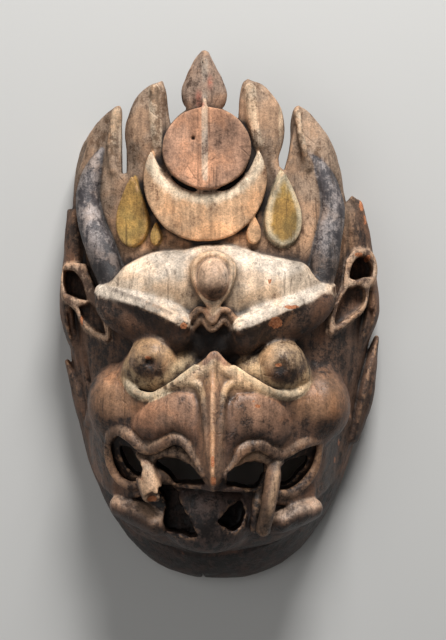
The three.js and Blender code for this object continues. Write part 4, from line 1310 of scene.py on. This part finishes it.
def paint_mask(piece):
    paint = Paint(piece)
    paint_ground(paint)
    paint_muzzle(paint)
    paint_brows(paint)
    paint_eyes(paint)
    paint_mouth(paint)
    paint_crown(paint)
    paint_sides(paint)
    for chip in CHIPS:
        paint.bare = np.maximum(paint.bare, paint.spot(*chip, soft=0.2))
    paint.bare = paint.bare * ramp(paint.normal[2], -0.2, 0.1)

    # the back and the hollow are bare dark wood
    inner = shell(RIM_WIDTH, WALL, CHIN_WALL).distance(*paint.point)
    back = np.maximum(1 - ramp(inner, 1, 3), 1 - ramp(paint.point[2], 0.2, 1))
    paint.coat("back", back)

    # dirt and painted shade lie where there is much wood round about, wear where there is little
    wood = np.clip(0.5 - mask.field / mask.cell, 0, 1)
    close = at_points(softened(wood, 2.2, mask.cell), mask, paint.point)
    wide = at_points(softened(wood, 7, mask.cell), mask, paint.point)
    dirt_and_shade = ramp(close, 0.5, 0.72) * 0.6 + ramp(wide, 0.52, 0.8) * 0.7
    write_colour(piece, "paint_over", paint.over)
    write_colour(piece, "paint_under", paint.under)
    write_number(piece, "paint_left", paint.left)
    write_number(piece, "polish", paint.polish)
    write_number(piece, "bare", paint.bare)
    write_number(piece, "dirt_and_shade", dirt_and_shade * (1 - back))
    write_number(piece, "proud", ramp(0.5 - close, 0.06, 0.2))


paint_mask(piece)


class Nodes:
    """Adds shader nodes to a material and links them."""

    def __init__(self, name):
        self.material = bpy.data.materials.new(name)
        self.material.use_nodes = True
        self.tree = self.material.node_tree
        self.shader = self.tree.nodes["Principled BSDF"]

    def add(self, kind, **settings):
        made = self.tree.nodes.new(kind)
        for name, value in settings.items():
            setattr(made, name, value)
        return made

    def put(self, value, socket):
        if isinstance(value, bpy.types.NodeSocket):
            self.tree.links.new(value, socket)
        else:
            socket.default_value = value

    def reckon(self, operation, a, b, clamp=False):
        made = self.add("ShaderNodeMath", operation=operation, use_clamp=clamp)
        self.put(a, made.inputs[0])
        self.put(b, made.inputs[1])
        return made.outputs[0]

    def plus(self, a, b):
        return self.reckon("ADD", a, b)

    def minus(self, a, b):
        return self.reckon("SUBTRACT", a, b)

    def times(self, a, b):
        return self.reckon("MULTIPLY", a, b)

    def mix(self, share, a, b, blend="MIX"):
        made = self.add("ShaderNodeMix", data_type="RGBA", blend_type=blend)
        self.put(share, made.inputs[0])
        self.put(a, made.inputs[6])
        self.put(b, made.inputs[7])
        return made.outputs[2]

    def stain(self, colour, share, weight, stain):
        """Lays a plain colour over another where the share is high."""
        return self.mix(self.reckon("MULTIPLY", share, weight, clamp=True), colour, (*tone(*stain), 1))

    def attribute(self, name, output="Fac"):
        return self.add("ShaderNodeAttribute", attribute_name=name).outputs[output]

    def texture(self, kind, scale, stretch, **settings):
        """A texture that is fixed to the piece, squeezed along each axis by stretch."""
        mapping = self.add("ShaderNodeMapping")
        self.put(self.add("ShaderNodeTexCoord").outputs["Object"], mapping.inputs["Vector"])
        mapping.inputs["Scale"].default_value = stretch
        made = self.add(kind, **settings)
        self.put(mapping.outputs[0], made.inputs["Vector"])
        made.inputs["Scale"].default_value = scale
        return made

    def noise(self, scale, detail=4, stretch=(1, 1, 1), roughness=0.55):
        made = self.texture("ShaderNodeTexNoise", scale, stretch)
        made.inputs["Detail"].default_value = detail
        made.inputs["Roughness"].default_value = roughness
        return made.outputs[0]

    def net(self, scale, stretch):
        """How far a place is from the lines of an irregular net."""
        made = self.texture("ShaderNodeTexVoronoi", scale, stretch, feature="DISTANCE_TO_EDGE")
        return made.outputs["Distance"]

    def steps(self, value, start, end, low=0.0, high=1.0):
        made = self.add("ShaderNodeMapRange", interpolation_type="SMOOTHSTEP")
        self.put(value, made.inputs["Value"])
        for name, number in zip(("From Min", "From Max", "To Min", "To Max"), (start, end, low, high)):
            made.inputs[name].default_value = number
        return made.outputs[0]

    def grey(self, value):
        made = self.add("ShaderNodeCombineColor")
        for socket in made.inputs:
            self.put(value, socket)
        return made.outputs[0]


def aged_paint():
    """Flaking paint over wood, with streaks, dirt and painted shade in the hollows, worn edges, chips and
    cracks.
    """
    nodes = Nodes("aged_paint_on_wood")
    broad = nodes.noise(30, 4, roughness=0.6)
    mottle = nodes.noise(74, 5, roughness=0.62)
    speckle = nodes.noise(760, 3, roughness=0.7)
    grain = nodes.noise(240, 4, stretch=(1, 0.1, 1), roughness=0.6)
    flake = nodes.noise(250, 4, roughness=0.65)

    # the ragged edge of what is left of the paint
    ragged = nodes.attribute("paint_left")
    for noise, reach in ((broad, 0.7), (mottle, 0.9), (flake, 0.6), (grain, 0.5), (speckle, 0.25)):
        ragged = nodes.plus(ragged, nodes.times(nodes.minus(noise, 0.5), reach))
    covered = nodes.steps(ragged, 0.38, 0.6)
    under = nodes.attribute("paint_under", "Color")
    colour = nodes.mix(covered, under, nodes.attribute("paint_over", "Color"))
    warm = nodes.mix(1.0, colour, (1.07, 0.96, 0.86, 1), "MULTIPLY")
    colour = nodes.mix(nodes.steps(broad, 0.46, 0.6), colour, warm)

    # light and dark patches
    streaks = nodes.noise(52, 5, stretch=(1, 0.3, 1), roughness=0.6)
    shade = nodes.steps(streaks, 0.34, 0.66, 0.72, 1.24)
    shade = nodes.times(shade, nodes.steps(mottle, 0.32, 0.68, 0.8, 1.18))
    patches = ((broad, 0.84, 1.14), (speckle, 0.74, 1.22), (grain, 0.8, 1.16), (flake, 0.84, 1.14))
    for noise, low, high in patches:
        shade = nodes.times(shade, nodes.steps(noise, 0.34, 0.66, low, high))
    colour = nodes.mix(1.0, colour, nodes.grey(shade), "MULTIPLY")

    # worn edges, dirt and painted shade in the hollows, chips, pits, scratches and a net of fine cracks
    worn = nodes.times(nodes.attribute("proud"), nodes.steps(flake, 0.46, 0.62, 0.0, 0.5))
    colour = nodes.stain(colour, worn, 1.0, (206, 160, 122))
    grime_and_shade = nodes.times(nodes.attribute("dirt_and_shade"), nodes.steps(mottle, 0.25, 0.7, 0.75, 1.2))
    colour = nodes.stain(colour, grime_and_shade, 0.9, (30, 21, 16))
    chipped = nodes.plus(nodes.attribute("bare"), nodes.minus(flake, 0.5))
    bare = nodes.mix(nodes.steps(speckle, 0.35, 0.65), (*tone(164, 92, 54), 1), (*tone(206, 138, 94), 1))
    colour = nodes.mix(nodes.steps(chipped, 0.5, 0.62), colour, bare)
    colour = nodes.stain(colour, nodes.steps(speckle, 0.62, 0.7), 0.5, (44, 32, 24))
    scratches = nodes.steps(nodes.noise(330, 2, stretch=(1, 0.045, 1)), 0.63, 0.68)
    colour = nodes.stain(colour, scratches, 0.4, (60, 44, 34))
    crack = nodes.minus(1.0, nodes.steps(nodes.net(70, (1, 0.5, 1)), 0.0, 0.035))
    crack = nodes.times(crack, nodes.steps(mottle, 0.54, 0.64))
    colour = nodes.stain(colour, crack, 0.28, (64, 46, 36))
    nodes.put(colour, nodes.shader.inputs["Base Color"])

    rough = nodes.steps(mottle, 0.3, 0.7, 0.0, 0.16)
    polish = nodes.steps(nodes.attribute("polish"), 0.0, 1.0, 0.78, 0.36)
    nodes.put(nodes.plus(rough, polish), nodes.shader.inputs["Roughness"])
    nodes.shader.inputs["Specular IOR Level"].default_value = 0.5
    bump = nodes.add("ShaderNodeBump")
    bump.inputs["Strength"].default_value = 0.6
    bump.inputs["Distance"].default_value = 0.0009
    height = nodes.plus(nodes.times(speckle, 0.5), nodes.times(grain, 0.5))
    height = nodes.plus(height, nodes.times(covered, 0.4))
    height = nodes.minus(height, nodes.times(nodes.plus(crack, scratches), 0.5))
    nodes.put(height, bump.inputs["Height"])
    nodes.put(bump.outputs[0], nodes.shader.inputs["Normal"])
    return nodes.material


piece.data.materials.clear()
piece.data.materials.append(aged_paint())
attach(piece, "root")
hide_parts("mask")

# The photograph's camera in steps, straight above the lying mask: where it is, and how much it
# sees from top to bottom at a distance from itself.
CAMERA_PLACE = (3, 0, 1600)
SEEN_HEIGHT = 460.8
SEEN_DISTANCE = 1560
SENSOR_HEIGHT = 36


def studio():
    """A pale floor, a soft lamp above the crown, a weaker one high on the left, and the camera."""
    bpy.ops.mesh.primitive_plane_add(size=8, location=(0, 0, 0))
    floor = bpy.context.object
    floor.name = "studio_floor"
    nodes = Nodes("pale_floor")
    nodes.shader.inputs["Base Color"].default_value = (*tone(206, 205, 202), 1)
    nodes.shader.inputs["Roughness"].default_value = 0.9
    floor.data.materials.append(nodes.material)

    def lamp(name, place, aim, size, power):
        light = bpy.data.lights.new(name, "AREA")
        light.shape = "SQUARE"
        light.size = size
        light.energy = power
        holder = bpy.data.objects.new(name, light)
        bpy.context.scene.collection.objects.link(holder)
        holder.location = place
        direction = Vector(aim) - Vector(place)
        holder.rotation_euler = direction.to_track_quat("-Z", "Y").to_euler()

    lamp("key_lamp", (0.25, 1.5, 1.05), (0, 0, 0.08), 0.6, 40)
    lamp("fill_lamp", (-0.7, 0.1, 1.5), (0, 0, 0.05), 1.2, 5)
    world = bpy.data.worlds.new("studio")
    bpy.context.scene.world = world
    world.use_nodes = True
    world.node_tree.nodes["Background"].inputs[0].default_value = (1, 1, 1, 1)
    world.node_tree.nodes["Background"].inputs[1].default_value = 0.14

    bpy.context.scene.view_settings.view_transform = "Standard"
    camera = bpy.data.objects.new("camera", bpy.data.cameras.new("camera"))
    bpy.context.scene.collection.objects.link(camera)
    camera.location = [value * STEP for value in CAMERA_PLACE]
    camera.data.sensor_fit = "VERTICAL"
    camera.data.sensor_height = SENSOR_HEIGHT
    camera.data.lens = SENSOR_HEIGHT * SEEN_DISTANCE / SEEN_HEIGHT
    camera.data.clip_start = 0.01
    bpy.context.scene.camera = camera


studio()
